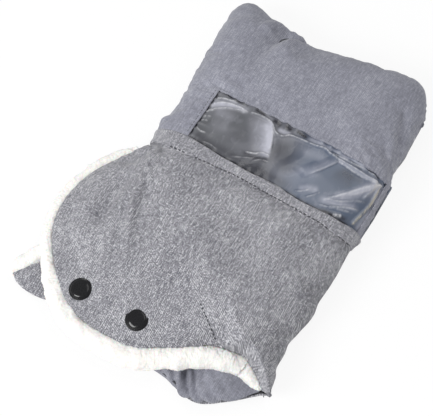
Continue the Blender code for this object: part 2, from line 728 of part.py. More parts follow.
def build_fleece_roll(builder, top):
    """The fleece that rolls out along the flap's free edge, thinner towards its ends."""
    edge = FLAP_EDGE_ROW
    data = bpy.data.curves.new("flap_fleece_roll", "CURVE")
    data.dimensions = "3D"
    data.bevel_depth = FLEECE_ROLL_RADIUS
    data.bevel_resolution = 2
    data.use_fill_caps = True
    last = len(COLUMNS) - 1
    places = []
    for column, across in enumerate(COLUMNS):
        if not FLEECE_ROLL_TRIM_SHARE < across < 1 - FLEECE_ROLL_TRIM_SHARE:
            continue
        swell = min(1.0, min(across, 1 - across) / FLEECE_ROLL_TAPER_SHARE)
        radius_share = FLEECE_ROLL_END_SHARE + (1 - FLEECE_ROLL_END_SHARE) * swell
        radius = FLEECE_ROLL_RADIUS * radius_share
        down = top.edge_direction(edge, column)
        run = top.place(edge, min(column + 1, last)) - top.place(edge, max(column - 1, 0))
        outward = down.cross(run).normalized()
        to_edge = top.place(edge, column) - top.place(edge - 1, column)
        if outward.dot(HINGE_OUT) < 0 and outward.dot(to_edge) < 0:
            outward = -outward
        centre = top.place(edge, column, CLOTH + LAYER_GAP + radius)
        centre += outward * radius * FLEECE_ROLL_OUT_SHARE
        places.append((centre, radius_share))
    spline = data.splines.new("POLY")
    spline.points.add(len(places) - 1)
    for point, (centre, share) in zip(spline.points, places):
        point.co = (*centre, 1)
        point.radius = share
    builder.add("flap_fleece_roll", data, "fleece", True)


def build_lip(builder, top):
    """The lower lip: a strip from the mouth edge, turned in under the flap to carry the studs."""
    under_rows = [FLAP_EDGE_ROW - 1 - step for step in range(FACING_ROWS)]
    used = [column for column, across in enumerate(COLUMNS) if LIP_START_SHARE < across < LIP_END_SHARE]
    rim = [point_at_share(LIP_EDGE, COLUMNS[column]) + Vector((0, 0, LIP_HEIGHT)) for column in used]
    rows = [rim] + [[top.place(row, column, LIP_DEPTH) for column in used] for row in under_rows]
    lip = Sheet(rows, Vector((0, 0, 1)), False, False)
    post_room = CLOTH + 2 * SOCKET_CLEARANCE + POST_PLATE
    shell = builder.add("lip_shell", layer(lip, 0.0, CLOTH), "heather")
    under_cloth = CLOTH + LAYER_GAP
    builder.add("lip_elastic", layer(lip, under_cloth, under_cloth + ELASTIC, rows=(4, 5)), "elastic")
    builder.add("lip_fleece", layer(lip, post_room, post_room + LIP_FLEECE, rows=(2, 6)), "fleece")
    return shell


def build_corner(builder):
    """The corner of the lower lip, which sticks out under the flap at the left."""
    start = point_at_share(LIP_EDGE, CORNER_START_SHARE)
    end = point_at_share(LIP_EDGE, CORNER_END_SHARE)
    base_run = end - start
    outward = Vector((base_run.y, -base_run.x, 0)).normalized()
    if outward.dot(HINGE_OUT) < 0:
        outward = -outward
    tip = start.lerp(end, CORNER_LEAN_SHARE) + outward * CORNER_REACH
    rows = []
    for row in range(CORNER_STEPS + 1):
        share = row / CORNER_STEPS
        row_points = []
        for column in range(CORNER_STEPS + 1):
            base_share = CORNER_START_SHARE + (CORNER_END_SHARE - CORNER_START_SHARE) * column / CORNER_STEPS
            base = point_at_share(LIP_EDGE, base_share) + outward * SEAM_GAP
            target = tip + (base - start.lerp(end, CORNER_LEAN_SHARE)) * CORNER_TIP_SHARE
            place = base.lerp(target, share)
            place.z = CORNER_HEIGHT + CORNER_RISE * sin(pi / 2 * share)
            row_points.append(place)
        rows.append(row_points)
    sheet = Sheet(rows, Vector((0, 0, 1)), False, False)
    builder.add("corner_shell", layer(sheet, 0.0, CLOTH), "heather")
    builder.add("corner_fleece", layer(sheet, CLOTH + LAYER_GAP, CLOTH + LAYER_GAP + FLEECE), "fleece")


def snap_profiles():
    """The turned profiles of a snap's pieces, with zero height at the cloth's outer face."""
    cap = [(CAP_RADIUS * across, CAP_CLEARANCE + CAP_HEIGHT * up) for across, up in CAP_PROFILE_SHARES]
    cap += [(BARREL_RADIUS, CAP_CLEARANCE), (BARREL_RADIUS, -FLEECE_BOTTOM), (0, -FLEECE_BOTTOM)]
    socket_top = SOCKET_HEIGHT - SOCKET_BOTTOM
    web_bottom = socket_top - SOCKET_WEB
    socket = [(0, socket_top), (SOCKET_RADIUS - SOCKET_WEB, socket_top), (SOCKET_RADIUS, web_bottom),
              (SOCKET_RADIUS, -SOCKET_BOTTOM), (SOCKET_BORE_RADIUS, -SOCKET_BOTTOM),
              (SOCKET_BORE_RADIUS, web_bottom), (0, web_bottom)]
    head_bottom = web_bottom - SNAP_CLEARANCE - STUD_HEAD_HEIGHT
    flange_top = -SOCKET_BOTTOM - SNAP_CLEARANCE
    flange_bottom = flange_top - STUD_FLANGE
    stud = [(STUD_HEAD_RADIUS * across, head_bottom + STUD_HEAD_HEIGHT * up)
            for across, up in STUD_PROFILE_SHARES]
    stud += [(STUD_NECK_RADIUS, head_bottom), (STUD_NECK_RADIUS, flange_top),
             (SOCKET_BORE_RADIUS, flange_top), (POST_RADIUS, flange_top - STUD_FLANGE / 2),
             (POST_RADIUS, flange_bottom), (0, flange_bottom)]
    plate_top = -LIP_DEPTH - CLOTH - SOCKET_CLEARANCE
    plate_bottom = plate_top - POST_PLATE
    post_top = flange_bottom - LAYER_GAP
    post = [(0, post_top), (BARREL_RADIUS, post_top), (BARREL_RADIUS, plate_top), (POST_RADIUS, plate_top),
            (POST_RADIUS, plate_top - POST_PLATE / 2), (POST_RADIUS - POST_PLATE / 2, plate_bottom),
            (0, plate_bottom)]
    return cap, socket, stud, post, head_bottom


def ring_mesh():
    """The socket's closed wire ring, spun from a six-sided section."""
    radius = SOCKET_BORE_RADIUS - SNAP_CLEARANCE - SPRING_WIRE_RADIUS
    mesh = bmesh.new()
    section = bmesh.ops.create_circle(mesh, segments=6, radius=SPRING_WIRE_RADIUS)["verts"]
    bmesh.ops.rotate(mesh, verts=section, cent=(0, 0, 0), matrix=Matrix.Rotation(pi / 2, 3, "X"))
    bmesh.ops.translate(mesh, verts=section, vec=(radius, 0, 0))
    bmesh.ops.spin(mesh, geom=mesh.verts[:] + mesh.edges[:], cent=(0, 0, 0), axis=(0, 0, 1), angle=2 * pi,
                   steps=ROUND_STEPS, use_merge=True)
    bmesh.ops.recalc_face_normals(mesh, faces=mesh.faces[:])
    data = bpy.data.meshes.new("snap_spring")
    mesh.to_mesh(data)
    mesh.free()
    return data


def bore_cutter(builder, side, place, axis):
    radius = BARREL_RADIUS + SNAP_CLEARANCE
    tool = bmesh.new()
    bmesh.ops.create_cone(tool, cap_ends=True, segments=ROUND_STEPS, radius1=radius, radius2=radius,
                          depth=3 * LIP_DEPTH)
    data = bpy.data.meshes.new("bore_" + side)
    tool.to_mesh(data)
    tool.free()
    cutter = builder.cutter("bore_" + side, data)
    stand(cutter, place, axis)
    return cutter


def build_snaps(builder, top, flap, lip_shell):
    """Each snap: a cap through the flap, a socket and spring under it, and a stud and post on the lip."""
    cap, socket, stud, post, head_bottom = snap_profiles()
    for side, (place, axis) in snap_axes(top).items():
        turned_pieces = [
            builder.add("snap_cap_" + side, turned(cap), "snap", True),
            builder.add("snap_socket_" + side, turned(socket), "snap", True),
            builder.add("snap_stud_" + side, turned(stud), "snap"),
            builder.add("snap_post_" + side, turned(post), "steel"),
        ]
        for piece in turned_pieces:
            spin(piece)
            stand(piece, place, axis)
        ring = builder.add("snap_spring_" + side, ring_mesh(), "steel", True)
        stand(ring, place + axis * head_bottom, axis)
        cutter = bore_cutter(builder, side, place, axis)
        for cloth in (*flap, lip_shell):
            bore = cloth.modifiers.new("bore_" + side, "BOOLEAN")
            bore.operation = "DIFFERENCE"
            bore.object = cutter


def main():
    for item in list(bpy.data.objects):
        bpy.data.objects.remove(item, do_unlink=True)
    builder = Builder()
    top = Sheet(top_rows(), Vector((0, 0, 1)))
    underside = Sheet(underside_rows(), Vector((0, 0, -1)))
    build_body(builder, top, underside)
    flap = build_flap(builder, top)
    lip_shell = build_lip(builder, top)
    build_corner(builder)
    build_snaps(builder, top, flap, lip_shell)


main()
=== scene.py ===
from math import cos, hypot, pi, radians, sin, sqrt

import bpy
import numpy as np
from mathutils import Matrix, Vector, noise
from mathutils.bvhtree import BVHTree


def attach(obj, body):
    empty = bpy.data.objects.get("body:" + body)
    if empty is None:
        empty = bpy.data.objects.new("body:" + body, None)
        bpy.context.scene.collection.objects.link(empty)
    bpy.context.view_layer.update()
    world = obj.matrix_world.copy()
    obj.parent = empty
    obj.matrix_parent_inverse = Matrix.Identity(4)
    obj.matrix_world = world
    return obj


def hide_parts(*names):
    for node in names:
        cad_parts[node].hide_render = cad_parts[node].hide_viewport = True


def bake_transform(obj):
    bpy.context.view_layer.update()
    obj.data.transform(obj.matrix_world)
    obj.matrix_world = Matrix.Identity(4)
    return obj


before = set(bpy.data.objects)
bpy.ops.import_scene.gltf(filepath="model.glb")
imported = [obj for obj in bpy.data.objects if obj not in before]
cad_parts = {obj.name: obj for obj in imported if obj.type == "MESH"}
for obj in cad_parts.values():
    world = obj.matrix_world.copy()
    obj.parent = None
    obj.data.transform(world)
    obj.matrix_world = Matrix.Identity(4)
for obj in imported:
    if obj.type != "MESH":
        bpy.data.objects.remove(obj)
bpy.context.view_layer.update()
mm = 0.001
print("frame loaded:", len(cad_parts), "nodes")


# Shader maths as plain expressions

class Wire:
    def __init__(self, finish, socket):
        self.finish = finish
        self.socket = socket

    def sum(self, operation, other, swapped=False):
        first, second = (other, self) if swapped else (self, other)
        return self.finish.node("ShaderNodeMath", {"operation": operation}, {0: first, 1: second})

    def __add__(self, other):
        return self.sum("ADD", other)

    def __radd__(self, other):
        return self.sum("ADD", other, True)

    def __sub__(self, other):
        return self.sum("SUBTRACT", other)

    def __rsub__(self, other):
        return self.sum("SUBTRACT", other, True)

    def __mul__(self, other):
        return self.sum("MULTIPLY", other)

    def __rmul__(self, other):
        return self.sum("MULTIPLY", other, True)

    def __pow__(self, other):
        return self.sum("POWER", other)

    def wave(self):
        return self.finish.node("ShaderNodeMath", {"operation": "SINE"}, {0: self})


class Finish:
    def __init__(self, name, **surface):
        self.material = bpy.data.materials.new(name)
        self.material.use_nodes = True
        self.tree = self.material.node_tree
        self.shader = self.tree.nodes["Principled BSDF"]
        for socket, value in surface.items():
            self.feed(self.shader.inputs[socket.replace("_", " ")], value)

    def feed(self, socket, value):
        if isinstance(value, Wire):
            self.tree.links.new(value.socket, socket)
        elif socket.type == "RGBA" and len(value) == 3:
            socket.default_value = (*value, 1.0)
        else:
            socket.default_value = value

    def node(self, kind, settings=None, inputs=None, output=0):
        made = self.tree.nodes.new(kind)
        for key, value in (settings or {}).items():
            if key == "stops":
                ramp = made.color_ramp
                while len(ramp.elements) < len(value):
                    ramp.elements.new(1.0)
                for element, (place, colour) in zip(ramp.elements, value):
                    element.position = place
                    element.color = (*colour, 1.0)
            else:
                setattr(made, key, value)
        for key, value in (inputs or {}).items():
            self.feed(made.inputs[key], value)
        return Wire(self, made.outputs[output])

    def coordinates(self, kind, scale, turn=0.0):
        source = self.node("ShaderNodeTexCoord", output={"UV": 2, "Object": 3}[kind])
        return self.node("ShaderNodeMapping", None, {"Vector": source, "Scale": scale, "Rotation": (0, 0, turn)})

    def noise(self, vector, detail=2.0, roughness=0.5, scale=1.0, distortion=0.0):
        return self.node("ShaderNodeTexNoise", None, {"Vector": vector, "Scale": scale, "Detail": detail,
                                                      "Roughness": roughness, "Distortion": distortion})

    def between(self, value, low, high, start=0.0, end=1.0):
        return self.node("ShaderNodeMapRange", None, {"Value": value, 1: low, 2: high, 3: start, 4: end})

    def blend(self, factor, first, second, mode="MIX"):
        return self.node("ShaderNodeMix", {"data_type": "RGBA", "blend_type": mode},
                         {0: factor, 6: first, 7: second}, 2)

    def bump(self, height, strength, distance, under=None):
        inputs = {"Height": height, "Strength": strength, "Distance": distance}
        if under:
            inputs["Normal"] = under
        return self.node("ShaderNodeBump", None, inputs)

    def surface(self, **sockets):
        for socket, value in sockets.items():
            self.feed(self.shader.inputs[socket.replace("_", " ")], value)
        return self.material


# Finishes. UV maps of the cloth pieces are in metres: U along the weft, V along the warp.

clothLook = {
    "dark": (0.105, 0.105, 0.125),
    "middle": (0.229, 0.229, 0.252),
    "light": (0.64, 0.64, 0.67),
    "contrast": 1.0,
    "fleck": 0.62,
    "streaks": 0.85,
    "clouds": 0.25,
    "ribPitch": 1.3 * mm,
    "yarnPitch": 0.5 * mm,
    "streakWidth": 1.05 * mm,
    "streakLength": 6 * mm,
}
softLook = {**clothLook, "dark": (0.15, 0.152, 0.185), "middle": (0.249, 0.254, 0.300), "light": (0.45, 0.455, 0.51),
            "contrast": 0.55, "fleck": 0.5, "streaks": 1.0, "clouds": 0.5, "streakWidth": 1.5 * mm,
            "streakLength": 8 * mm}


def heatherFinish(name, look, shade=1.0, turn=0.0):
    # Warp ribs and weft threads, each fading in and out, with pale and dark fibres spun in
    finish = Finish(name, Sheen_Weight=0.2, Sheen_Roughness=0.5, Specular_IOR_Level=0.2)
    width, length = 1 / look["streakWidth"], 1 / look["streakLength"]
    plain = finish.coordinates("UV", (1, 1, 1), turn)
    across = finish.node("ShaderNodeSeparateXYZ", None, {0: plain})
    along = finish.node("ShaderNodeSeparateXYZ", None, {0: plain}, 1)
    warpStreaks = finish.noise(finish.coordinates("UV", (width, length, 1), turn), 2.0, 0.6)
    weftStreaks = finish.noise(finish.coordinates("UV", (length * 1.3, width * 1.1, 1), turn), 2.0, 0.6)
    flecks = finish.noise(finish.coordinates("UV", (1 / (0.85 * mm), 1 / (1.15 * mm), 1), turn), 0.0, 0.5)
    drift = finish.noise(finish.coordinates("UV", (90, 30, 1), turn), 2.0, 0.5)
    patches = finish.noise(finish.coordinates("UV", (34, 24, 1), turn), 2.0, 0.5)
    rib = 2 * pi / look["ribPitch"]
    yarn = 2 * pi / look["yarnPitch"]
    warpRibs = (across * rib + drift * 9.0).wave()
    weftRibs = (along * rib * 1.18 + drift * 7.0).wave()
    weave = (across * yarn).wave() * (along * yarn).wave()
    warpShown = finish.between(patches, 0.36, 0.58)
    pattern = (warpRibs * 0.13 * warpShown + weftRibs * 0.085 * (1.2 - warpShown)
               + (warpStreaks - 0.5) * look["streaks"] + (weftStreaks - 0.5) * look["streaks"] * 0.6
               + (flecks - 0.5) * look["fleck"] + (patches - 0.5) * look["clouds"] + weave * 0.035)
    tone = pattern * look["contrast"] + 0.5
    yarns = finish.node("ShaderNodeValToRGB", {"stops": (
        (0.22, tuple(shade * part for part in look["dark"])),
        (0.50, tuple(shade * part for part in look["middle"])),
        (0.80, tuple(shade * part for part in look["light"])),
    )}, {0: tone})
    relief = tone + weave * 0.12
    return finish.surface(
        Base_Color=yarns,
        Roughness=finish.between(tone, 0.3, 0.8, 0.95, 0.82),
        Normal=finish.bump(relief, 0.5 * look["contrast"], 0.5 * mm),
    )


# The darker colour is painted shade for the hollows between the tufts
fleeceLook = {"deep": (0.76, 0.745, 0.715), "fibre": (0.87, 0.855, 0.83), "curl": 3.2 * mm, "hair": 0.9 * mm}


def fleeceFinish(name, look):
    finish = Finish(name, Sheen_Weight=0.3, Sheen_Roughness=0.6, Specular_IOR_Level=0.1, Subsurface_Weight=0.2,
                    Subsurface_Scale=3 * mm)
    curl, hair = 1 / look["curl"], 1 / look["hair"]
    curls = finish.noise(finish.coordinates("Object", (curl, curl, curl)), 2.0, 0.6, distortion=1.6)
    hairs = finish.noise(finish.coordinates("Object", (hair, hair, hair)), 3.0, 0.7, distortion=1.2)
    # Painted shade: the colour darkens where the curls and hairs are low, in the hollows of the bump
    depth = finish.between(curls * 0.6 + hairs * 0.4, 0.62, 0.36)
    return finish.surface(
        Base_Color=finish.blend(depth, look["fibre"], look["deep"]),
        Roughness=finish.between(hairs, 0.3, 0.7, 0.9, 1.0),
        Normal=finish.bump(hairs * 0.4 + curls, 0.3, 0.7 * mm),
    )


def liningFinish(name, colour):
    finish = Finish(name, Sheen_Weight=0.15, Specular_IOR_Level=0.25)
    pitch = 2 * pi / (0.6 * mm)
    twill = finish.node("ShaderNodeSeparateXYZ", None, {0: finish.coordinates("UV", (pitch, pitch, 1), radians(38))})
    ribs = finish.node("ShaderNodeMath", {"operation": "SINE"}, {0: twill}) * 0.5 + 0.5
    clouds = finish.noise(finish.coordinates("Object", (60, 60, 60)), 3.0, 0.6)
    tone = ribs * 0.3 + clouds * 0.7
    return finish.surface(
        Base_Color=finish.blend(finish.between(tone, 0.2, 0.85), tuple(0.7 * part for part in colour),
                                tuple(1.3 * part for part in colour)),
        Roughness=finish.between(tone, 0.2, 0.9, 0.85, 0.7),
        Normal=finish.bump(ribs, 0.25, 0.15 * mm),
    )


# Film colours: warm, middle and cool are the dark lining seen through the film, with painted shade of the hollow; pale
# is painted reflection, dark is painted shade, bright and the yellowish colour are painted highlight lines
filmLook = {"warm": (0.120, 0.124, 0.136), "middle": (0.084, 0.088, 0.104), "cool": (0.094, 0.120, 0.176),
            "dark": (0.016, 0.016, 0.024), "pale": (0.52, 0.525, 0.60), "bright": (0.74, 0.745, 0.78),
            "yellowishShine": (0.50, 0.46, 0.36), "opacity": 0.88}


def filmFinish(name, look):
    # Clear film over the dark lining. Its colour is painted: a dark, nearly opaque tint for the lining seen through it,
    # partly the lining's colour and partly painted shade of the unlit hollow; painted reflections of a pale room in its
    # folds; painted shade; and painted highlight lines along its creases
    finish = Finish(name, IOR=1.45, Specular_IOR_Level=0.5, Coat_Roughness=0.05)
    place = finish.node("ShaderNodeSeparateXYZ", None, {0: finish.coordinates("Object", (1, 1, 1))})
    broad = finish.noise(finish.coordinates("Object", (28, 36, 28)), 1.0, 0.4, distortion=0.5)
    wrinkles = finish.noise(finish.coordinates("Object", (150, 90, 150), radians(25)), 3.0, 0.5, distortion=1.4)
    scratches = finish.noise(finish.coordinates("Object", (420, 120, 420), radians(-32)), 3.0, 0.6, distortion=0.8)
    crease = finish.node("ShaderNodeAttribute", {"attribute_name": "crease"}, output=2)
    sheen = finish.node("ShaderNodeAttribute", {"attribute_name": "sheen"}, output=2)
    # Tint of the dark lining seen through the film, with painted shade of the unlit hollow
    leftPart = finish.blend(finish.between(place, -45 * mm, 0), look["warm"], look["middle"])
    liningAndShadeTint = finish.blend(finish.between(place, 8 * mm, 34 * mm), leftPart, look["cool"])
    # Painted reflections: pale patches from noise
    reflectionNoise = finish.between(broad, 0.35, 0.72) * 0.16 + finish.between(wrinkles, 0.56, 0.74) * 0.10
    # The pale colour is a painted reflection, laid where the attribute is above 0
    withReflections = finish.blend(reflectionNoise + finish.between(sheen, 0, 1) * finish.between(wrinkles, 0.2, 0.6, 0.65, 1.0), liningAndShadeTint,
                          look["pale"])
    # Painted shade where the attribute is below 0
    shaded = finish.blend(finish.between(sheen, 0, -1), withReflections, look["dark"])
    # Painted highlight lines along the creases
    lines = crease * finish.between(scratches, 0.35, 0.62, 0.12, 1.0)
    # Right of 89 to 91 mm the painted highlight lines turn yellowish
    shine = finish.blend(finish.between(place, 89 * mm, 91 * mm), look["bright"], look["yellowishShine"])
    return finish.surface(
        Base_Color=finish.blend(lines, shaded, shine),
        Roughness=finish.between(broad, 0.3, 0.75, 0.13, 0.26),
        Alpha=finish.between(broad, 0.3, 0.7, look["opacity"] - 0.05, look["opacity"] + 0.05),
        Coat_Weight=finish.between(broad, 0.3, 0.7, 0.25, 0.5),
        Normal=finish.bump(wrinkles, 0.16, 0.7 * mm),
    )


def mouldedFinish(name, colour, roughness):
    finish = Finish(name, Coat_Roughness=0.06, Specular_IOR_Level=0.2)
    specks = finish.noise(finish.coordinates("Object", (900, 900, 900)), 4.0, 0.6)
    scuffs = finish.noise(finish.coordinates("Object", (260, 90, 260), radians(30)), 3.0, 0.6)
    return finish.surface(
        Base_Color=finish.blend(finish.between(specks, 0.35, 0.7), colour, tuple(1.8 * part for part in colour)),
        Roughness=finish.between(scuffs, 0.35, 0.7, roughness, roughness + 0.12),
        Coat_Weight=finish.between(scuffs, 0.3, 0.8, 0.28, 0.16),
        Normal=finish.bump(specks, 0.05, 0.05 * mm),
    )


def steelFinish(name, colour):
    finish = Finish(name, Metallic=1.0)
    grain = finish.noise(finish.coordinates("Object", (1400, 1400, 300)), 3.0, 0.6)
    return finish.surface(
        Base_Color=finish.blend(grain, colour, tuple(1.6 * part for part in colour)),
        Roughness=finish.between(grain, 0.3, 0.7, 0.28, 0.45),
        Normal=finish.bump(grain, 0.08, 0.05 * mm),
    )


def threadFinish(name, colour):
    finish = Finish(name, Sheen_Weight=0.2)
    twist = finish.noise(finish.coordinates("Object", (2500, 2500, 2500)), 2.0, 0.6)
    return finish.surface(
        Base_Color=finish.blend(twist, tuple(0.7 * part for part in colour), tuple(1.3 * part for part in colour)),
        Roughness=finish.between(twist, 0.3, 0.7, 0.65, 0.85),
        Normal=finish.bump(twist, 0.2, 0.05 * mm),
    )


finishes = {
    "cloth": heatherFinish("heatherCloth", clothLook),
    "farCloth": heatherFinish("heatherFar", softLook),
    "bandCloth": heatherFinish("heatherBand", clothLook, 1.05, radians(90)),
    # The lip's cloth is the soft cloth darkened to 0.87: painted shade for the shadow of the flap's fleece roll over it
    "lipClothShaded": heatherFinish("heatherLipShaded", softLook, 0.87),
    "fleece": fleeceFinish("creamSherpa", fleeceLook),
    "lining": liningFinish("darkLining", (0.05, 0.052, 0.06)),
    "film": filmFinish("crumpledFilm", filmLook),
    "snap": mouldedFinish("glossyBlack", (0.006, 0.006, 0.007), 0.1),
    "steel": steelFinish("blackenedSteel", (0.12, 0.12, 0.125)),
    "thread": threadFinish("darkThread", (0.035, 0.035, 0.042)),
    "paleThread": threadFinish("paleThread", (0.78, 0.78, 0.76)),
}
print("finishes made:", len(finishes))


# The muff's form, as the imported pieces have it

muffForm = {
    "halfWidth": 100 * mm,
    "farEndY": 170 * mm,
    "farCorner": 28 * mm,
    "topRoll": 56 * mm,
    "topHeight": 60 * mm,
    "seamHeight": 27 * mm,
    "farTopHeight": 50 * mm,
    "farSeamHeight": 23 * mm,
    "farSlope": 120 * mm,
    "mouthSeamHeight": 15 * mm,
    "mouthInset": 5 * mm,
    "crown": 3 * mm,
    "fullness": 2.35,
    "lowerRoll": 34 * mm,
    "seamGap": 0.6 * mm,
    "hingeLeftY": 8 * mm,
    "hingeRightY": -131 * mm,
    "flapDepth": 116 * mm,
    "flapEdgeHeight": 32 * mm,
    "mouthFall": 50 * mm,
    "clothDepth": 1.2 * mm,
    "filmDepth": 1.6 * mm,
    "liningDepth": 7.6 * mm,
    "facingDepth": 9.0 * mm,
    "lipDepth": 17.4 * mm,
}
hingeLeft = np.array([-muffForm["halfWidth"], muffForm["hingeLeftY"], 0])
hingeRight = np.array([muffForm["halfWidth"] - muffForm["mouthInset"], muffForm["hingeRightY"], 0])
hingeLength = np.linalg.norm(hingeRight - hingeLeft)
hingeAlong = (hingeRight - hingeLeft) / hingeLength
hingeOut = np.cross(hingeAlong, (0, 0, 1))

# Along the hinge, out from it, and height, as shares
flapEdgeShares = (
    (0.012, 0.055, 0.95), (0.022, 0.255, 0.97), (0.033, 0.425, 0.97), (0.066, 0.608, 0.97), (0.118, 0.766, 0.97),
    (0.195, 0.887, 0.97), (0.300, 0.957, 0.97), (0.395, 0.988, 0.98), (0.463, 0.985, 0.98), (0.538, 0.945, 0.98),
    (0.612, 0.850, 1.00), (0.680, 0.715, 1.02), (0.735, 0.520, 1.06), (0.778, 0.325, 1.12), (0.828, 0.165, 1.10),
    (0.885, 0.085, 0.98), (0.942, 0.052, 0.80), (0.985, 0.040, 0.62),
)
lipEdgeShares = (
    (0.005, 0.030), (0.018, 0.280), (0.050, 0.540), (0.120, 0.735), (0.215, 0.845), (0.315, 0.905), (0.435, 0.915),
    (0.550, 0.840), (0.670, 0.705), (0.765, 0.570), (0.860, 0.505), (0.925, 0.430), (0.973, 0.240), (0.995, 0.040),
)


def smoothCurve(points, steps=12):
    points = np.array(points, float)
    spread = np.vstack([points[0] * 2 - points[1], points, points[-1] * 2 - points[-2]])
    curve = []
    for before, start, end, after in zip(spread, spread[1:], spread[2:], spread[3:]):
        for t in np.arange(steps) / steps:
            curve.append(0.5 * (2 * start + (end - before) * t + (2 * before - 5 * start + 4 * end - after) * t * t
                                + (3 * start - before - 3 * end + after) * t ** 3))
    curve.append(points[-1])
    return np.array(curve)


def alongCurve(curve, share):
    steps = np.linalg.norm(np.diff(curve, axis=0), axis=1)
    run = np.concatenate([[0], np.cumsum(steps)])
    at = np.asarray(share, float) * run[-1]
    return np.stack([np.interp(at, run, curve[:, axis]) for axis in range(curve.shape[1])], -1)


def fromHinge(along, out, height=0.0):
    return hingeLeft + hingeAlong * hingeLength * along + hingeOut * muffForm["flapDepth"] * out + np.array([0, 0, height])


flapEdge = smoothCurve([fromHinge(a, o, muffForm["flapEdgeHeight"] * h) for a, o, h in flapEdgeShares])
lipEdge = smoothCurve([fromHinge(a, o) for a, o in lipEdgeShares])


def eased(share):
    share = np.clip(share, 0, 1)
    return share * share * (3 - 2 * share)


def quarterRound(share, fullness=muffForm["fullness"]):
    return (1 - (1 - np.clip(share, 0, 1)) ** fullness) ** (1 / fullness)


def cornerInset(distance):
    radius = muffForm["farCorner"]
    return radius - np.sqrt(radius ** 2 - np.clip(radius - distance, 0, radius) ** 2)


def bodyPlan(across, leftY, rightY):
    form = muffForm
    drawnIn = form["mouthInset"] * eased(rightY / form["hingeRightY"])
    left = -form["halfWidth"] + cornerInset(form["farEndY"] - leftY)
    right = form["halfWidth"] - cornerInset(form["farEndY"] - rightY) - drawnIn
    return left + (right - left) * across, leftY + (rightY - leftY) * across


def farBlend(y, farValue, value):
    return farValue + (value - farValue) * eased((muffForm["farEndY"] - y) / muffForm["farSlope"])


def seamHeight(y):
    form = muffForm
    fall = (form["seamHeight"] - form["mouthSeamHeight"]) * eased(y / form["hingeRightY"])
    return farBlend(y, form["farSeamHeight"], form["seamHeight"]) - fall


def edgeOutline(leftReach):
    form = muffForm
    turn = 1 - np.cos(np.linspace(0, pi / 2, 15))
    shares = np.concatenate([turn * 0.15, np.linspace(0.16, 1, 22)])
    leftY = form["farEndY"] + (form["hingeLeftY"] - form["farEndY"]) * shares
    rightY = form["farEndY"] + (form["hingeRightY"] - form["farEndY"]) * shares
    left = [bodyPlan(0, y, y) for y in leftY[::-1]]
    right = [bodyPlan(1, y, y) for y in rightY]
    points = np.array(left + right)
    if leftReach:
        reach = np.array([0, -form["flapDepth"]])
        points = np.vstack([points[0] + reach, points, points[-1] + reach])
    return points


def nearestOn(outline, x, y):
    flat = np.stack([np.ravel(x), np.ravel(y)], -1)
    best = np.full(len(flat), 1e9)
    share = np.zeros(len(flat))
    for index, (start, end) in enumerate(zip(outline[:, :2], outline[1:, :2])):
        run = end - start
        t = np.clip(((flat - start) @ run) / max(run @ run, 1e-12), 0, 1)
        distance = np.linalg.norm(flat - start - t[:, None] * run, axis=1)
        closer = distance < best
        best[closer] = distance[closer]
        share[closer] = index + t[closer]
    return best.reshape(np.shape(x)), share.reshape(np.shape(x))


topOutline = edgeOutline(True)


def topHeight(x, y):
    form = muffForm
    distance, _ = nearestOn(topOutline, x, y)
    seam = seamHeight(y) + form["seamGap"] / 2
    top = farBlend(y, form["farTopHeight"], form["topHeight"]) - form["crown"] * (x / form["halfWidth"]) ** 2
    return seam + (top - seam) * quarterRound(distance / form["topRoll"])


def columnShares(rollCount, middleCount):
    roll = muffForm["topRoll"] / (2 * muffForm["halfWidth"])
    left = roll * (1 - np.cos(np.linspace(0, pi / 2, rollCount + 1)))[:-1]
    middle = np.linspace(roll, 1 - roll, middleCount + 1)
    return np.concatenate([left, middle, 1 - left[::-1]])


# Where the photographed outline leaves the plain form: millimetres along an edge, and how far it moves there
edgeDrift = {
    "farEnd": ((-112, 8), (-98, 10.5), (-84, 9.5), (-74, 5.5), (-66, 3), (-55, 2.6), (-45, 3.4), (-36, 3), (-30, -1),
               (-22, -3), (-12, -1.5), (5, 2.6), (28, 7.4), (51, 10.4), (71, 11), (84, 7.6), (96, 2.4), (110, 0)),
    "right": ((-150, 6), (-138, 7), (-131, 7), (-124, 6.2), (-117, 4.6), (-112, 1.8), (-107, -0.4), (-100, -0.2), (-92, -0.8), (-85, -3), (-76, -1),
              (-63, 1.2), (-54, 2.2), (-45, -0.4), (-18, 0), (8, -1.5), (13, -1.5), (18, 1), (40, 2), (67, 1.5), (74, 1.5),
              (82, -1.2), (90, -3.8), (96, -3.6), (108, -2.2), (133, -3.5), (155, -4), (176, -1)),
    "left": ((-140, 0), (-14, 0), (-4, -0.6), (3, -2.6), (9, -5.4), (14, -5.6), (18, -4.6), (22, -3), (27, -1.2), (33, -1.8), (38, -3.6), (44, -5), (52, -4.4), (70, -2),
             (85, 0.4), (105, 2.8), (125, 4.2), (150, 4.4), (180, 4)),
    "farReach": 60,
    "sideReach": 45,
    # Middle, reach, and the move at the middle
    "pushes": ((-88, 160, 18, -3.5, 3.5), (-9, -155, 19, 2.0, -4.0), (22, -136, 15, 1.4, -3.0),
               (74, -125, 13, -4.0, 6.8)),
    # How far the band's far and front edges sag towards the mouth
    "bandFar": ((-100, 0), (-90, 1), (-64, 2.6), (-50, 4.4), (-40, 5.3), (-30, 6.1), (-11, 6.8), (0, 7.5), (18, 7.2), (37, 8.4),
                (46, 9), (56, 8.6), (65, 7.8), (73, 6.7), (83, 6.4), (91, 3.9), (98, 2.5)),
    "bandFront": ((-100, 0), (-92, 2.4), (-80, 5), (-71, 6.8), (-52, 7), (-33, 6.6), (-24, 5.8), (5, 5.7), (14, 6), (24, 6.6),
                  (43, 6.9), (52, 7.4), (61, 6.8), (79, 5.8), (89, 5.6), (98, 3.7)),
}


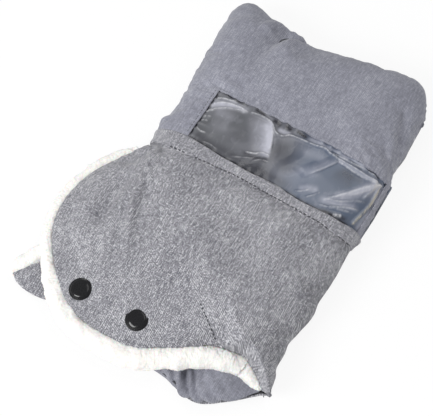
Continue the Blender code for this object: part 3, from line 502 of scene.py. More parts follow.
def drifted(places):
    x, y = places[..., 0] / mm, places[..., 1] / mm
    settings = edgeDrift
    farProfile = np.array(settings["farEnd"], float)
    rightProfile = np.array(settings["right"], float)
    leftProfile = np.array(settings["left"], float)
    moveFar = np.interp(x, farProfile[:, 0], farProfile[:, 1]) * eased((y - 170 + settings["farReach"]) / settings["farReach"])
    rightShare = eased((x - 100 + settings["sideReach"]) / settings["sideReach"])
    leftShare = eased((-x - 100 + settings["sideReach"]) / settings["sideReach"])
    moveSide = np.interp(y, rightProfile[:, 0], rightProfile[:, 1]) * rightShare
    moveSide = moveSide - np.interp(y, leftProfile[:, 0], leftProfile[:, 1]) * leftShare
    moved = places.copy()
    moved[..., 0] += moveSide * mm
    moved[..., 1] += moveFar * mm
    for middleX, middleY, reach, pushX, pushY in settings["pushes"]:
        near = np.exp(-((x - middleX) ** 2 + (y - middleY) ** 2) / reach ** 2)
        moved[..., 0] += pushX * near * mm
        moved[..., 1] += pushY * near * mm
    return moved


def bandSag(x, y):
    far, front = (np.array(edgeDrift[key], float) for key in ("bandFar", "bandFront"))
    x, y = x / mm, y / mm
    farMove, frontMove = np.interp(x, far[:, 0], far[:, 1]), np.interp(x, front[:, 0], front[:, 1])
    sag = frontMove + (farMove - frontMove) * np.clip((y - 9.6) / 11.6, 0, 1)
    return sag * eased((y + 45) / 50) * eased((64 - y) / 40) * mm


def sagged(places):
    moved = places.copy()
    moved[..., 1] -= bandSag(places[..., 0], places[..., 1])
    return moved


# Mesh helpers

def pickNothing():
    if bpy.context.mode != "OBJECT":
        bpy.ops.object.mode_set(mode="OBJECT")
    bpy.ops.object.select_all(action="DESELECT")


def pick(piece):
    pickNothing()
    bpy.context.view_layer.objects.active = piece
    piece.select_set(True)


def gridNormals(places, outward):
    normals = np.cross(np.gradient(places, axis=1), np.gradient(places, axis=0))
    normals /= np.maximum(np.linalg.norm(normals, axis=-1, keepdims=True), 1e-12)
    middle = normals[places.shape[0] // 2, places.shape[1] // 2]
    return normals if middle @ np.array(outward, float) > 0 else -normals


def rollNormals(outline, places, roll, height, fullness, up):
    # Normals of a rolled edge, from the run of its seam
    runs = np.diff(outline[:, :2], axis=0)
    away = np.stack([runs[:, 1], -runs[:, 0]], -1)
    away /= np.maximum(np.linalg.norm(away, axis=1, keepdims=True), 1e-12)
    corners = np.vstack([away[:1], away[:-1] + away[1:], away[-1:]])
    corners /= np.linalg.norm(corners, axis=1, keepdims=True)
    if np.sum(corners * outline[:, :2]) < 0:
        corners = -corners
    distance, share = nearestOn(outline, places[..., 0], places[..., 1])
    outward = np.stack([np.interp(share, np.arange(len(outline)), corners[:, axis]) for axis in (0, 1)], -1)
    step = 0.01
    t = np.clip(distance / roll, step / 2, 1)
    rise = (quarterRound(t + step / 2, fullness) - quarterRound(t - step / 2, fullness)) / step * height / roll
    normals = np.concatenate([outward * rise[..., None], np.full((*t.shape, 1), up)], -1)
    return normals / np.linalg.norm(normals, axis=-1, keepdims=True)


def rolledLength(distance, height):
    # Length of cloth from the top of the roll down to a plan distance from the seam
    at = np.linspace(1, 0, 80)
    steps = np.hypot(np.diff(at) * muffForm["topRoll"], np.diff(quarterRound(at)) * height)
    run = np.concatenate([[0], np.cumsum(steps)])
    return np.interp(distance / muffForm["topRoll"], at[::-1], run[::-1])


def weavePlaces(places):
    x, y = places[..., 0], places[..., 1]
    form = muffForm
    toSide = np.clip(form["halfWidth"] - np.abs(x), 0, form["topRoll"])
    extraSide = rolledLength(toSide, 33 * mm) - (form["topRoll"] - toSide)
    onBody = np.where(x < 0, eased((y + 50 * mm) / (58 * mm)), 1)
    toFar = np.clip(form["farEndY"] - y, 0, form["topRoll"])
    extraFar = rolledLength(toFar, 27 * mm) - (form["topRoll"] - toFar)
    return x + np.sign(x) * extraSide * onBody, y + extraFar


def laySheet(name, places, outward):
    rows, columns = places.shape[:2]
    pickNothing()
    bpy.ops.mesh.primitive_grid_add(x_subdivisions=columns - 1, y_subdivisions=rows - 1, size=0.1)
    piece = bpy.context.active_object
    piece.name = name
    data = piece.data
    data.vertices.foreach_set("co", places.astype(np.float32).ravel())
    data.update()
    uv = np.stack(weavePlaces(places), -1).reshape(-1, 2)
    setUv(data, uv)
    if data.polygons[len(data.polygons) // 2 + columns // 2].normal @ Vector(outward) < 0:
        bpy.ops.object.mode_set(mode="EDIT")
        bpy.ops.mesh.select_all(action="SELECT")
        bpy.ops.mesh.flip_normals()
        bpy.ops.object.mode_set(mode="OBJECT")
    return piece


def setUv(data, uv):
    layer = data.uv_layers.get("weave") or data.uv_layers.new(name="weave")
    for other in [entry for entry in data.uv_layers if entry.name != "weave"]:
        data.uv_layers.remove(other)
    layer = data.uv_layers["weave"]
    corners = np.zeros(len(data.loops), np.int32)
    data.loops.foreach_get("vertex_index", corners)
    layer.data.foreach_set("uv", uv[corners].astype(np.float32).ravel())


def readPlaces(piece):
    flat = np.zeros(len(piece.data.vertices) * 3, np.float32)
    piece.data.vertices.foreach_get("co", flat)
    return flat.reshape(-1, 3).astype(float)


def writePlaces(piece, places):
    piece.data.vertices.foreach_set("co", places.astype(np.float32).ravel())
    piece.data.update()


def useModifier(piece, kind, **settings):
    pick(piece)
    modifier = piece.modifiers.new(kind.lower(), kind)
    for key, value in settings.items():
        setattr(modifier, key, value)
    bpy.ops.object.modifier_apply(modifier=modifier.name)


def thicken(piece, depth, levels=1):
    useModifier(piece, "SOLIDIFY", thickness=depth, offset=-1.0, use_even_offset=False)
    if levels:
        useModifier(piece, "SUBSURF", levels=levels, render_levels=levels)
    piece.data.shade_smooth()


def finishPiece(piece, finish, body=None, replaced=()):
    piece.data.materials.clear()
    piece.data.materials.append(finishes[finish])
    if body:
        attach(piece, body)
    if replaced:
        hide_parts(*replaced)
    return piece


def removeFaces(piece, chosen):
    pick(piece)
    bpy.ops.object.mode_set(mode="EDIT")
    bpy.ops.mesh.select_mode(type="FACE")
    bpy.ops.mesh.select_all(action="DESELECT")
    bpy.ops.object.mode_set(mode="OBJECT")
    piece.data.polygons.foreach_set("select", chosen)
    bpy.ops.object.mode_set(mode="EDIT")
    bpy.ops.mesh.delete(type="FACE")
    bpy.ops.object.mode_set(mode="OBJECT")


def faceMiddles(piece):
    middles = np.zeros(len(piece.data.polygons) * 3, np.float32)
    piece.data.polygons.foreach_get("center", middles)
    return middles.reshape(-1, 3)


def distanceToPath(points, path):
    # Distance in plan to a line, positive on its left, and the share of its length at the nearest place
    path = np.array(path, float) * mm
    lengths = np.linalg.norm(np.diff(path, axis=0), axis=1)
    runs = np.concatenate([[0], np.cumsum(lengths)]) / lengths.sum()
    best = np.full(points.shape[:-1], 1e9)
    share = np.zeros(points.shape[:-1])
    for start, end, low, high in zip(path, path[1:], runs, runs[1:]):
        run, away = end - start, points - start
        t = np.clip((away @ run) / (run @ run), 0, 1)
        distance = np.linalg.norm(away - t[..., None] * run, axis=-1)
        side = np.where(run[0] * away[..., 1] - run[1] * away[..., 0] < 0, -1, 1)
        closer = distance < np.abs(best)
        best[closer] = (distance * side)[closer]
        share[closer] = (low + (high - low) * t)[closer]
    return best, share


def foldHeights(points, folds):
    # Each fold: its line, its height, and how far it spreads to the left and the right of the line
    heights = np.zeros(points.shape[:-1])
    for fold in folds.values():
        distance, share = distanceToPath(points[..., :2], smoothCurve(fold["path"], 6))
        taper = eased(share / fold.get("easeIn", 0.25)) * eased((1 - share) / fold.get("easeOut", 0.25))
        width = np.where(distance > 0, fold["width"], fold.get("rightWidth", fold["width"])) * mm
        heights += fold["height"] * mm * taper * np.exp(-(distance / width) ** 2)
    return heights


def noiseHeights(points, size, seed, detail=2):
    offset = Vector((seed * 7.3, seed * 3.1, seed * 5.7))
    flat = points.reshape(-1, 3) / size
    values = [noise.fractal(Vector(place) + offset, 1.0, 2.0, detail) for place in flat]
    return np.array(values).reshape(points.shape[:-1])


def swell(piece, pinned, settings):
    # Blender's cloth with pressure: the cloth is a little too large for its seams, so it fills and creases
    before = readPlaces(piece)
    group = piece.vertex_groups.new(name="sewn")
    for index, weight in enumerate(pinned):
        if weight > 0.01:
            group.add([index], float(weight), "REPLACE")
    pick(piece)
    cloth = piece.modifiers.new("cloth", "CLOTH")
    cloth.settings.quality = settings["quality"]
    cloth.settings.mass = 0.15
    cloth.settings.use_pressure = True
    cloth.settings.uniform_pressure_force = settings["pressure"]
    cloth.settings.shrink_min = -settings["growth"]
    cloth.settings.tension_stiffness = 12
    cloth.settings.compression_stiffness = 12
    cloth.settings.bending_stiffness = settings["stiffness"]
    cloth.settings.vertex_group_mass = "sewn"
    cloth.settings.pin_stiffness = 1.0
    cloth.settings.effector_weights.gravity = 0
    cloth.collision_settings.use_collision = False
    cloth.point_cache.frame_start = 1
    cloth.point_cache.frame_end = settings["frames"]
    scene = bpy.context.scene
    for number in range(1, settings["frames"] + 1):
        scene.frame_set(number)
    bpy.ops.object.modifier_apply(modifier="cloth")
    scene.frame_set(1)
    moved = readPlaces(piece) - before
    length = np.linalg.norm(moved, axis=1)
    moved *= np.minimum(1, settings["cap"] / np.maximum(length, 1e-9))[:, None]
    writePlaces(piece, before + moved)
    print("  swelled", piece.name, "up to", round(float(length.max()) / mm, 1), "mm, mean",
          round(float(length.mean()) / mm, 2))


def swelledSheet(places, hold, settings):
    coarse = laySheet("coarse", places, (0, 0, 1))
    swell(coarse, hold.ravel(), settings)
    grown = readPlaces(coarse).reshape(places.shape)
    bpy.data.objects.remove(coarse)
    return grown


def refined(places):
    # Twice the rows and columns, on smooth curves through the coarse ones
    for axis in (0, 1):
        rows = np.swapaxes(places, 0, axis)
        spread = np.concatenate([2 * rows[:1] - rows[1:2], rows, 2 * rows[-1:] - rows[-2:-1]])
        between = (9 * (spread[1:-2] + spread[2:-1]) - spread[:-3] - spread[3:]) / 16
        finer = np.empty((2 * len(rows) - 1, *rows.shape[1:]))
        finer[0::2], finer[1::2] = rows, between
        places = np.swapaxes(finer, 0, axis)
    return places


# Far panel: from the closed far end to the seam under the band, with the window cut out

window = {"left": -64 * mm, "right": 96 * mm, "front": 21 * mm, "far": 71 * mm, "seamY": 15.6 * mm}
farCoverMake = {
    "rollColumns": 26,
    "middleColumns": 34,
    "rollRows": 26,
    "folds": {
        "farCrease": {"path": ((-18, 181), (-28, 171), (-37, 164.5), (-44.5, 158.5), (-48.5, 149), (-50, 136),
                               (-51.5, 121), (-53, 103), (-56, 84)),
                      "height": -9.5, "width": 4.6, "rightWidth": 11, "easeIn": 0.01, "easeOut": 0.75},
        "creaseCore": {"path": ((-18, 180), (-27, 170), (-36, 163), (-43, 157), (-47, 148), (-48.5, 138)),
                       "height": -5.6, "width": 2.2, "rightWidth": 4.2, "easeIn": 0.01, "easeOut": 0.6},
        "panelEdge": {"path": ((-20, 160), (-30, 153), (-37, 146), (-40, 133), (-41, 114)), "height": 2.4, "width": 9,
                      "rightWidth": 4, "easeIn": 0.1, "easeOut": 0.5},
        "lobe": {"path": ((-94, 152), (-86, 136), (-82, 108)), "height": 3.0, "width": 13},
        "lobeLid": {"path": ((-36, 177), (-50, 172), (-60, 160), (-64, 142)), "height": 4.2, "width": 6},
        "bandRoll": {"path": ((-106, 34), (-94, 29), (-82, 25)), "height": 1.6, "width": 4, "easeIn": 0.02,
                     "easeOut": 0.5},
        "bandRollTuck": {"path": ((-104, 23), (-96, 26), (-88, 28.5), (-81, 35)), "height": -2.6, "width": 1.4,
                         "easeIn": 0.02, "easeOut": 0.5},
        "sideTuck": {"path": ((75, 144), (83, 127), (89, 110), (93, 93)), "height": -2.6, "width": 4.5,
                     "rightWidth": 3.5, "easeOut": 0.4},
        "sidePuff": {"path": ((72, 124), (80, 112), (84, 98)), "height": 1.4, "width": 7},
        "hemTuck": {"path": ((-78, 76.5), (-69, 74.6), (-60, 73.2), (-50, 73)), "height": -1.8, "width": 1.8,
                    "easeIn": 0.4, "easeOut": 0.3},
        "middleSwale": {"path": ((10, 90), (20, 120), (16, 150)), "height": -1.0, "width": 14},
    },
    "swell": {"pressure": 3.5, "growth": 0.018, "stiffness": 0.3, "frames": 20, "cap": 4.5 * mm, "quality": 6},
}


def sheetRows(leftYs, rightYs, across):
    rows = []
    for leftY, rightY in zip(leftYs, rightYs):
        x, y = bodyPlan(across, leftY, rightY)
        rows.append(np.stack([x, y, topHeight(x, y)], -1))
    return np.array(rows)


def withLines(values, *lines):
    # Moves the nearest value onto each line, so that a panel's edge runs along the mesh
    values = np.array(values, float)
    for line in lines:
        values[np.abs(values - line).argmin()] = line
    return values


def farRows(make):
    form = muffForm
    roll = form["topRoll"] * (1 - np.cos(np.linspace(0, pi / 2, make["rollRows"] + 1)))
    rest = np.arange(roll[-1], form["farEndY"] - window["seamY"], 2.7 * mm)[1:]
    ys = form["farEndY"] - np.concatenate([roll, rest, [form["farEndY"] - window["seamY"]]])
    ys = withLines(ys, window["far"], window["front"])
    leftShare = (window["left"] / form["halfWidth"] + 1) / 2
    rightShare = (window["right"] / form["halfWidth"] + 1) / 2
    across = withLines(columnShares(make["rollColumns"], make["middleColumns"]), leftShare, rightShare)
    return sheetRows(ys, ys, across)


def nearHole(places, reach):
    # 1 at the window's edge, falling to 0 at the reach
    dx = np.maximum(np.maximum(window["left"] - places[..., 0], places[..., 0] - window["right"]), 0)
    dy = np.maximum(np.maximum(window["front"] - places[..., 1], places[..., 1] - window["far"]), 0)
    return np.clip(1 - np.hypot(dx, dy) / reach, 0, 1)


def pucker(places, along, size, seed):
    # Small gathers that a row of stitches pulls into the cloth
    wave = np.sin(along * 2 * pi / size + 2.1 * np.sin(along * 2 * pi / (size * 3.7) + seed))
    return wave + 0.6 * np.sin(along * 2 * pi / (size * 0.53) + seed * 2)


plainFar = farRows(farCoverMake)
farPlaces = sagged(drifted(plainFar))
edgeRows = np.zeros(plainFar.shape[:2])
edgeRows[0] = edgeRows[-3:] = 1
edgeRows[:, 0] = edgeRows[:, -1] = 1
hold = np.maximum(edgeRows, nearHole(plainFar, 5 * mm) ** 0.5)
places = refined(swelledSheet(farPlaces, hold, farCoverMake["swell"]))
finePlain, fineFar = refined(plainFar), refined(farPlaces)
topRollForm = (muffForm["topRoll"], 30 * mm, muffForm["fullness"], 1.0)
farNormals = rollNormals(topOutline, finePlain, *topRollForm)
seamDistance, seamRun = nearestOn(topOutline, finePlain[..., 0], finePlain[..., 1])
relief = foldHeights(fineFar, farCoverMake["folds"]) * eased(seamDistance / (5 * mm))
relief += 0.35 * mm * noiseHeights(finePlain, 30 * mm, 3)
alongSeam = finePlain[..., 0] + finePlain[..., 1]
relief += 0.22 * mm * pucker(finePlain, alongSeam, 13 * mm, 1) * np.exp(-seamDistance / (7 * mm))
holeNearness = nearHole(finePlain, 9 * mm)
relief += 0.3 * mm * pucker(finePlain, finePlain[..., 0] * 1.0 + finePlain[..., 1] * 0.7, 7 * mm, 4) * holeNearness ** 1.5
tuck = np.exp(-seamDistance / (1.6 * mm))
places += farNormals * (relief - 1.6 * mm * tuck)[..., None]
places[..., 2] -= 0.4 * mm * tuck
farCover = laySheet("farCover", places, (0, 0, 1))
plainMiddles = (finePlain[:-1, :-1] + finePlain[1:, 1:]).reshape(-1, 3) / 2
inWindow = ((plainMiddles[:, 0] > window["left"]) & (plainMiddles[:, 0] < window["right"])
            & (plainMiddles[:, 1] > window["front"]) & (plainMiddles[:, 1] < window["far"]))
removeFaces(farCover, inWindow)
thicken(farCover, muffForm["clothDepth"], 0)
finishPiece(farCover, "farCloth", "muff",
            ("far_shell", "window_side_left", "window_side_right", "top_wadding"))
print("far cover made:", len(farCover.data.polygons), "faces")


# Front panel and mouth flap: one cloth from the band, over the hinge line, to the flap's free edge

frontCoverMake = {
    "rollColumns": 26,
    "middleColumns": 34,
    "bodyRows": 40,
    "flapRows": 44,
    "startSlope": 0.7,
    "endSlope": 0.7,
    "folds": {
        "leftValley": {"path": ((-90, -20), (-91, -38), (-92, -55), (-91.5, -69), (-89, -84), (-85, -97)),
                       "height": -5.6, "width": 7, "rightWidth": 5, "easeIn": 0.3, "easeOut": 0.4},
        "leftBelly": {"path": ((-106, -20), (-111, -48), (-108, -84)), "height": 3.0, "width": 9, "rightWidth": 12},
        "lowValley": {"path": ((-78, -84), (-76, -97), (-71.5, -108), (-67, -120), (-67, -128)), "height": -3.0,
                      "width": 2.6, "rightWidth": 4.5},
        "lowRidge": {"path": ((-72, -84), (-69, -100), (-63, -115)), "height": 1.8, "width": 3.6},
        "innerValley": {"path": ((-76, -52), (-73, -66), (-69, -78), (-65, -89)), "height": -3.0, "width": 3.0,
                        "rightWidth": 4.0},
        "longRidge": {"path": ((-82, -1), (-79, -13), (-75, -29), (-72, -43), (-69, -56), (-65, -68), (-57, -86),
                               (-51, -101), (-43, -119), (-38, -134)),
                      "height": 4.2, "width": 5.4, "rightWidth": 2.4, "easeIn": 0.08, "easeOut": 0.6},
        "ridgeSide": {"path": ((-71, -30), (-67, -42), (-63, -54), (-58, -67), (-51, -81)), "height": -2.4,
                      "width": 7, "rightWidth": 3.5},
        "midValley": {"path": ((-38, -74), (-34, -88), (-29.5, -101), (-23, -114)), "height": -1.5, "width": 4.5},
        "midSwale": {"path": ((-44, -40), (-30, -66), (-14, -96)), "height": -1.2, "width": 12},
        "snapPull": {"path": ((-60, -128), (-42, -133), (-24, -137)), "height": 1.4, "width": 8},
        "snapDent": {"path": ((-6, -136), (3, -133), (12, -127)), "height": -1.2, "width": 3},
        "pleat": {"path": ((-17, -146), (-14.5, -151.5), (-12.5, -159)), "height": -3.2, "width": 2.0, "easeIn": 0.5,
                  "easeOut": 0.02},
        "dartLeft": {"path": ((20.5, -104), (14.7, -113), (9, -120.6), (2.7, -127)), "height": -1.0, "width": 1.6},
        "dartRight": {"path": ((22, -105), (35.5, -114.5), (49, -121.5)), "height": -1.3, "width": 1.8,
                      "easeOut": 0.05},
        "dartLift": {"path": ((26, -112), (30, -124), (32, -136)), "height": 1.4, "width": 8},
        "frontDent": {"path": ((50, -106), (62, -100), (73, -95), (84, -92)), "height": -2.4, "width": 5.5},
        "frontPuff": {"path": ((60, -115), (76, -109), (88, -101)), "height": 1.8, "width": 6},
        "sideStep": {"path": ((98, -88), (92, -96), (84, -104)), "height": -2.6, "width": 3.0, "easeIn": 0.05},
        "sideStepTwo": {"path": ((98, -109), (91, -114), (84, -117)), "height": -0.7, "width": 2.8, "easeIn": 0.05},
        "bodySwale": {"path": ((0, -10), (24, -40), (40, -78)), "height": -1.3, "width": 16},
        "bodyPuff": {"path": ((30, -6), (50, -34), (62, -66)), "height": 1.0, "width": 14},
        "bandFold": {"path": ((-98, 12), (-84, 5), (-70, -4)), "height": -2.4, "width": 3.6},
        "shoulderFall": {"path": ((-80, 6), (-87, 1), (-94, -7), (-99, -18), (-102, -30)), "height": -5.0,
                         "width": 6, "easeIn": 0.3, "easeOut": 0.4},
        "bandLine": {"path": ((-84, 2.2), (-62, 1.8), (-33, 1.9), (-5, 3), (20, 2.4), (52, 1.2), (79, 2.6), (96, 4.2)),
                     "height": -0.9, "width": 1.1, "easeIn": 0.02, "easeOut": 0.02},
    },
    "swell": {"pressure": 2.8, "growth": 0.014, "stiffness": 0.4, "frames": 20, "cap": 4.0 * mm, "quality": 6},
}


def frontRows(make, rows=None, across=None, depthRows=None):
    form = muffForm
    shares = np.linspace(0, 1, (rows or make["bodyRows"]) + 1)
    leftYs = window["seamY"] - 0.4 * mm + (form["hingeLeftY"] - window["seamY"] + 0.4 * mm) * shares
    rightYs = window["seamY"] - 0.4 * mm + (form["hingeRightY"] - window["seamY"] + 0.4 * mm) * shares
    if across is None:
        across = columnShares(make["rollColumns"], make["middleColumns"])
    body = sheetRows(leftYs, rightYs, across)
    start = body[-1]
    end = alongCurve(flapEdge, across)
    flap = []
    for t in np.linspace(0, 1, (depthRows or make["flapRows"]) + 1)[1:]:
        place = start + (end - start) * t
        slope = end[:, 2] - start[:, 2]
        place[:, 2] = ((2 * t ** 3 - 3 * t ** 2 + 1) * start[:, 2] + (t ** 3 - 2 * t ** 2 + t) * slope * make["startSlope"]
                       + (3 * t ** 2 - 2 * t ** 3) * end[:, 2] + (t ** 3 - t ** 2) * slope * make["endSlope"])
        flap.append(place)
    return np.vstack([body, np.array(flap)]), len(body)


plainFront, hingeRow = frontRows(frontCoverMake)
frontPlaces = sagged(drifted(plainFront))
hold = np.zeros(plainFront.shape[:2])
hold[:3] = 1
hold[:, 0] = hold[:, -1] = 1
hold[-2:] = 1
hold[-7:-2] = np.linspace(0.3, 0.9, 5)[:, None]
flapReach = np.linalg.norm((plainFront[-1] - plainFront[hingeRow - 1])[:, :2], axis=1)
hold[hingeRow:] = np.maximum(hold[hingeRow:], 1 - eased(flapReach / (22 * mm)))
places = refined(swelledSheet(frontPlaces, hold, frontCoverMake["swell"]))
finePlain, fineFront = refined(plainFront), refined(frontPlaces)
onBody = np.arange(finePlain.shape[0])[:, None] < 2 * hingeRow
reachShare = eased(np.linalg.norm((finePlain[-1] - finePlain[2 * hingeRow - 2])[:, :2], axis=1) / (22 * mm))
steadyNormals = rollNormals(topOutline, finePlain, *topRollForm)
flapNormals = gridNormals(fineFront, (0, 0, 1)) * reachShare[:, None] + steadyNormals * (1 - reachShare[:, None])
frontNormals = np.where(onBody[..., None], steadyNormals, flapNormals)
edgeDistance, edgeRun = nearestOn(flapEdge, finePlain[..., 0], finePlain[..., 1])
seamDistance, _ = nearestOn(topOutline, finePlain[..., 0], finePlain[..., 1])
relief = foldHeights(fineFront, frontCoverMake["folds"]) * np.where(onBody, eased(seamDistance / (5 * mm)), 1)
relief += 0.4 * mm * noiseHeights(finePlain, 26 * mm, 8)
relief += 0.4 * mm * pucker(finePlain, edgeRun * 2.6 * mm, 10 * mm, 2) * np.exp(-edgeDistance / (6 * mm)) * ~onBody
relief += 0.25 * mm * pucker(finePlain, finePlain[..., 1], 14 * mm, 6) * np.exp(-seamDistance / (7 * mm)) * onBody
relief *= np.where(onBody, 1, reachShare)
calmEnd = eased((-84 * mm - finePlain[..., 0]) / (12 * mm)) * eased((finePlain[..., 1] + 60 * mm) / (30 * mm))
relief *= 1 - 0.9 * calmEnd * np.exp(-edgeDistance / (7 * mm)) * ~onBody
tuck = np.exp(-seamDistance / (1.6 * mm)) * onBody
turnedDown = np.exp(-edgeDistance / (1.0 * mm)) * ~onBody
places += frontNormals * (relief - 1.6 * mm * tuck - 0.7 * mm * turnedDown)[..., None]
places[..., 2] -= 0.4 * mm * tuck
frontCover = laySheet("frontCover", places, (0, 0, 1))
thicken(frontCover, muffForm["clothDepth"], 0)
frontSurface = BVHTree.FromObject(frontCover, bpy.context.evaluated_depsgraph_get())
print("front cover made:", len(frontCover.data.polygons), "faces")

finishPiece(frontCover, "cloth", None, ("front_shell", "flap_shell", "flap_wadding"))
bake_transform(frontCover)


# Underside

underCoverMake = {"rollColumns": 18, "middleColumns": 26, "bodyRows": 60, "mouthRows": 14, "rollRows": 16}


def underOutline():
    closed = edgeOutline(False)
    heights = seamHeight(closed[:, 1]) - muffForm["seamGap"] / 2
    closed = np.column_stack([closed, heights])
    steps = np.linalg.norm(np.diff(lipEdge, axis=0), axis=1)
    run = np.concatenate([[0], np.cumsum(steps)])
    fromCorner = np.minimum(run, run[-1] - run)
    cornerHeight = np.where(run < run[-1] / 2, seamHeight(hingeLeft[1]), seamHeight(hingeRight[1]))
    lift = (cornerHeight - muffForm["seamGap"]) * eased(1 - fromCorner / muffForm["mouthFall"])
    mouth = np.column_stack([lipEdge[:, :2], lift])
    return np.vstack([closed, mouth[::-1], closed[:1]])


def underRows(make):
    form = muffForm
    roll = form["lowerRoll"] / (form["farEndY"] - (form["hingeLeftY"] + form["hingeRightY"]) / 2)
    rollShares = roll * (1 - np.cos(np.linspace(0, pi / 2, make["rollRows"] + 1)))[:-1]
    shares = np.concatenate([rollShares, np.linspace(roll, 1, make["bodyRows"] + 1)])
    across = columnShares(make["rollColumns"], make["middleColumns"])
    rows = []
    for share in shares:
        leftY = form["farEndY"] + (form["hingeLeftY"] - form["farEndY"]) * share
        rightY = form["farEndY"] + (form["hingeRightY"] - form["farEndY"]) * share
        rows.append(np.stack(bodyPlan(across, leftY, rightY), -1))
    start = rows[-1]
    end = alongCurve(lipEdge, across)[:, :2]
    for step in range(1, make["mouthRows"] + 1):
        share = 1 - (1 - step / make["mouthRows"]) ** 2
        rows.append(start + (end - start) * share)
    plan = np.array(rows)
    outline = underOutline()
    distance, at = nearestOn(outline, plan[..., 0], plan[..., 1])
    height = np.interp(at, np.arange(len(outline)), outline[:, 2])
    z = height * (1 - quarterRound(distance / form["lowerRoll"], 2))
    return np.concatenate([plan, z[..., None]], -1), distance


plainUnder, underDistance = underRows(underCoverMake)
underPlaces = drifted(plainUnder)
underNormals = rollNormals(underOutline(), plainUnder, muffForm["lowerRoll"], 24 * mm, 2, -1.0)
relief = 0.22 * mm * pucker(plainUnder, plainUnder[..., 0] + plainUnder[..., 1], 13 * mm, 1) * np.exp(-underDistance / (7 * mm))
relief -= 1.6 * mm * np.exp(-underDistance / (1.6 * mm))
resting = np.clip(plainUnder[..., 2] / (4 * mm), 0, 1)
underPlaces += underNormals * (relief * resting)[..., None]
underPlaces[..., 2] += 0.4 * mm * np.exp(-underDistance / (1.6 * mm)) * resting
underPlaces[..., 2] = np.maximum(underPlaces[..., 2], 0.0)
underCover = laySheet("underCover", underPlaces, (0, 0, -1))
thicken(underCover, muffForm["clothDepth"])
finishPiece(underCover, "cloth", "muff", ("lower_shell", "lower_wadding"))
print("underside made:", len(underCover.data.polygons), "faces")


# Linings inside

def offsetSheet(name, places, outward, depth):
    return laySheet(name, places - gridNormals(places, outward) * depth, outward)


topLining = offsetSheet("topLining", farPlaces[2:, 1:-1][::2, ::2], (0, 0, 1), muffForm["liningDepth"])
plainLining = plainFar[2:, 1:-1][::2, ::2]
liningMiddles = (plainLining[:-1, :-1] + plainLining[1:, 1:]).reshape(-1, 3) / 2
removeFaces(topLining, ((liningMiddles[:, 0] > window["left"]) & (liningMiddles[:, 0] < window["right"] - 8 * mm)
                        & (liningMiddles[:, 1] > window["front"]) & (liningMiddles[:, 1] < window["far"])))
thicken(topLining, 1 * mm)
finishPiece(topLining, "lining", "muff", ("top_lining",))

liningFront, _ = frontRows(frontCoverMake)
liningFront = drifted(liningFront)[:-8, 3:-14][::2, ::2]
flapLining = offsetSheet("flapLining", liningFront, (0, 0, 1), muffForm["liningDepth"])
thicken(flapLining, 1 * mm)
finishPiece(flapLining, "lining", None, ("flap_lining",))
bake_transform(flapLining)

lowerLining = offsetSheet("lowerLining", drifted(plainUnder)[::2, ::2], (0, 0, -1), muffForm["liningDepth"])
thicken(lowerLining, 1 * mm)
finishPiece(lowerLining, "lining", "muff", ("lower_lining",))
print("linings made")


# Window film

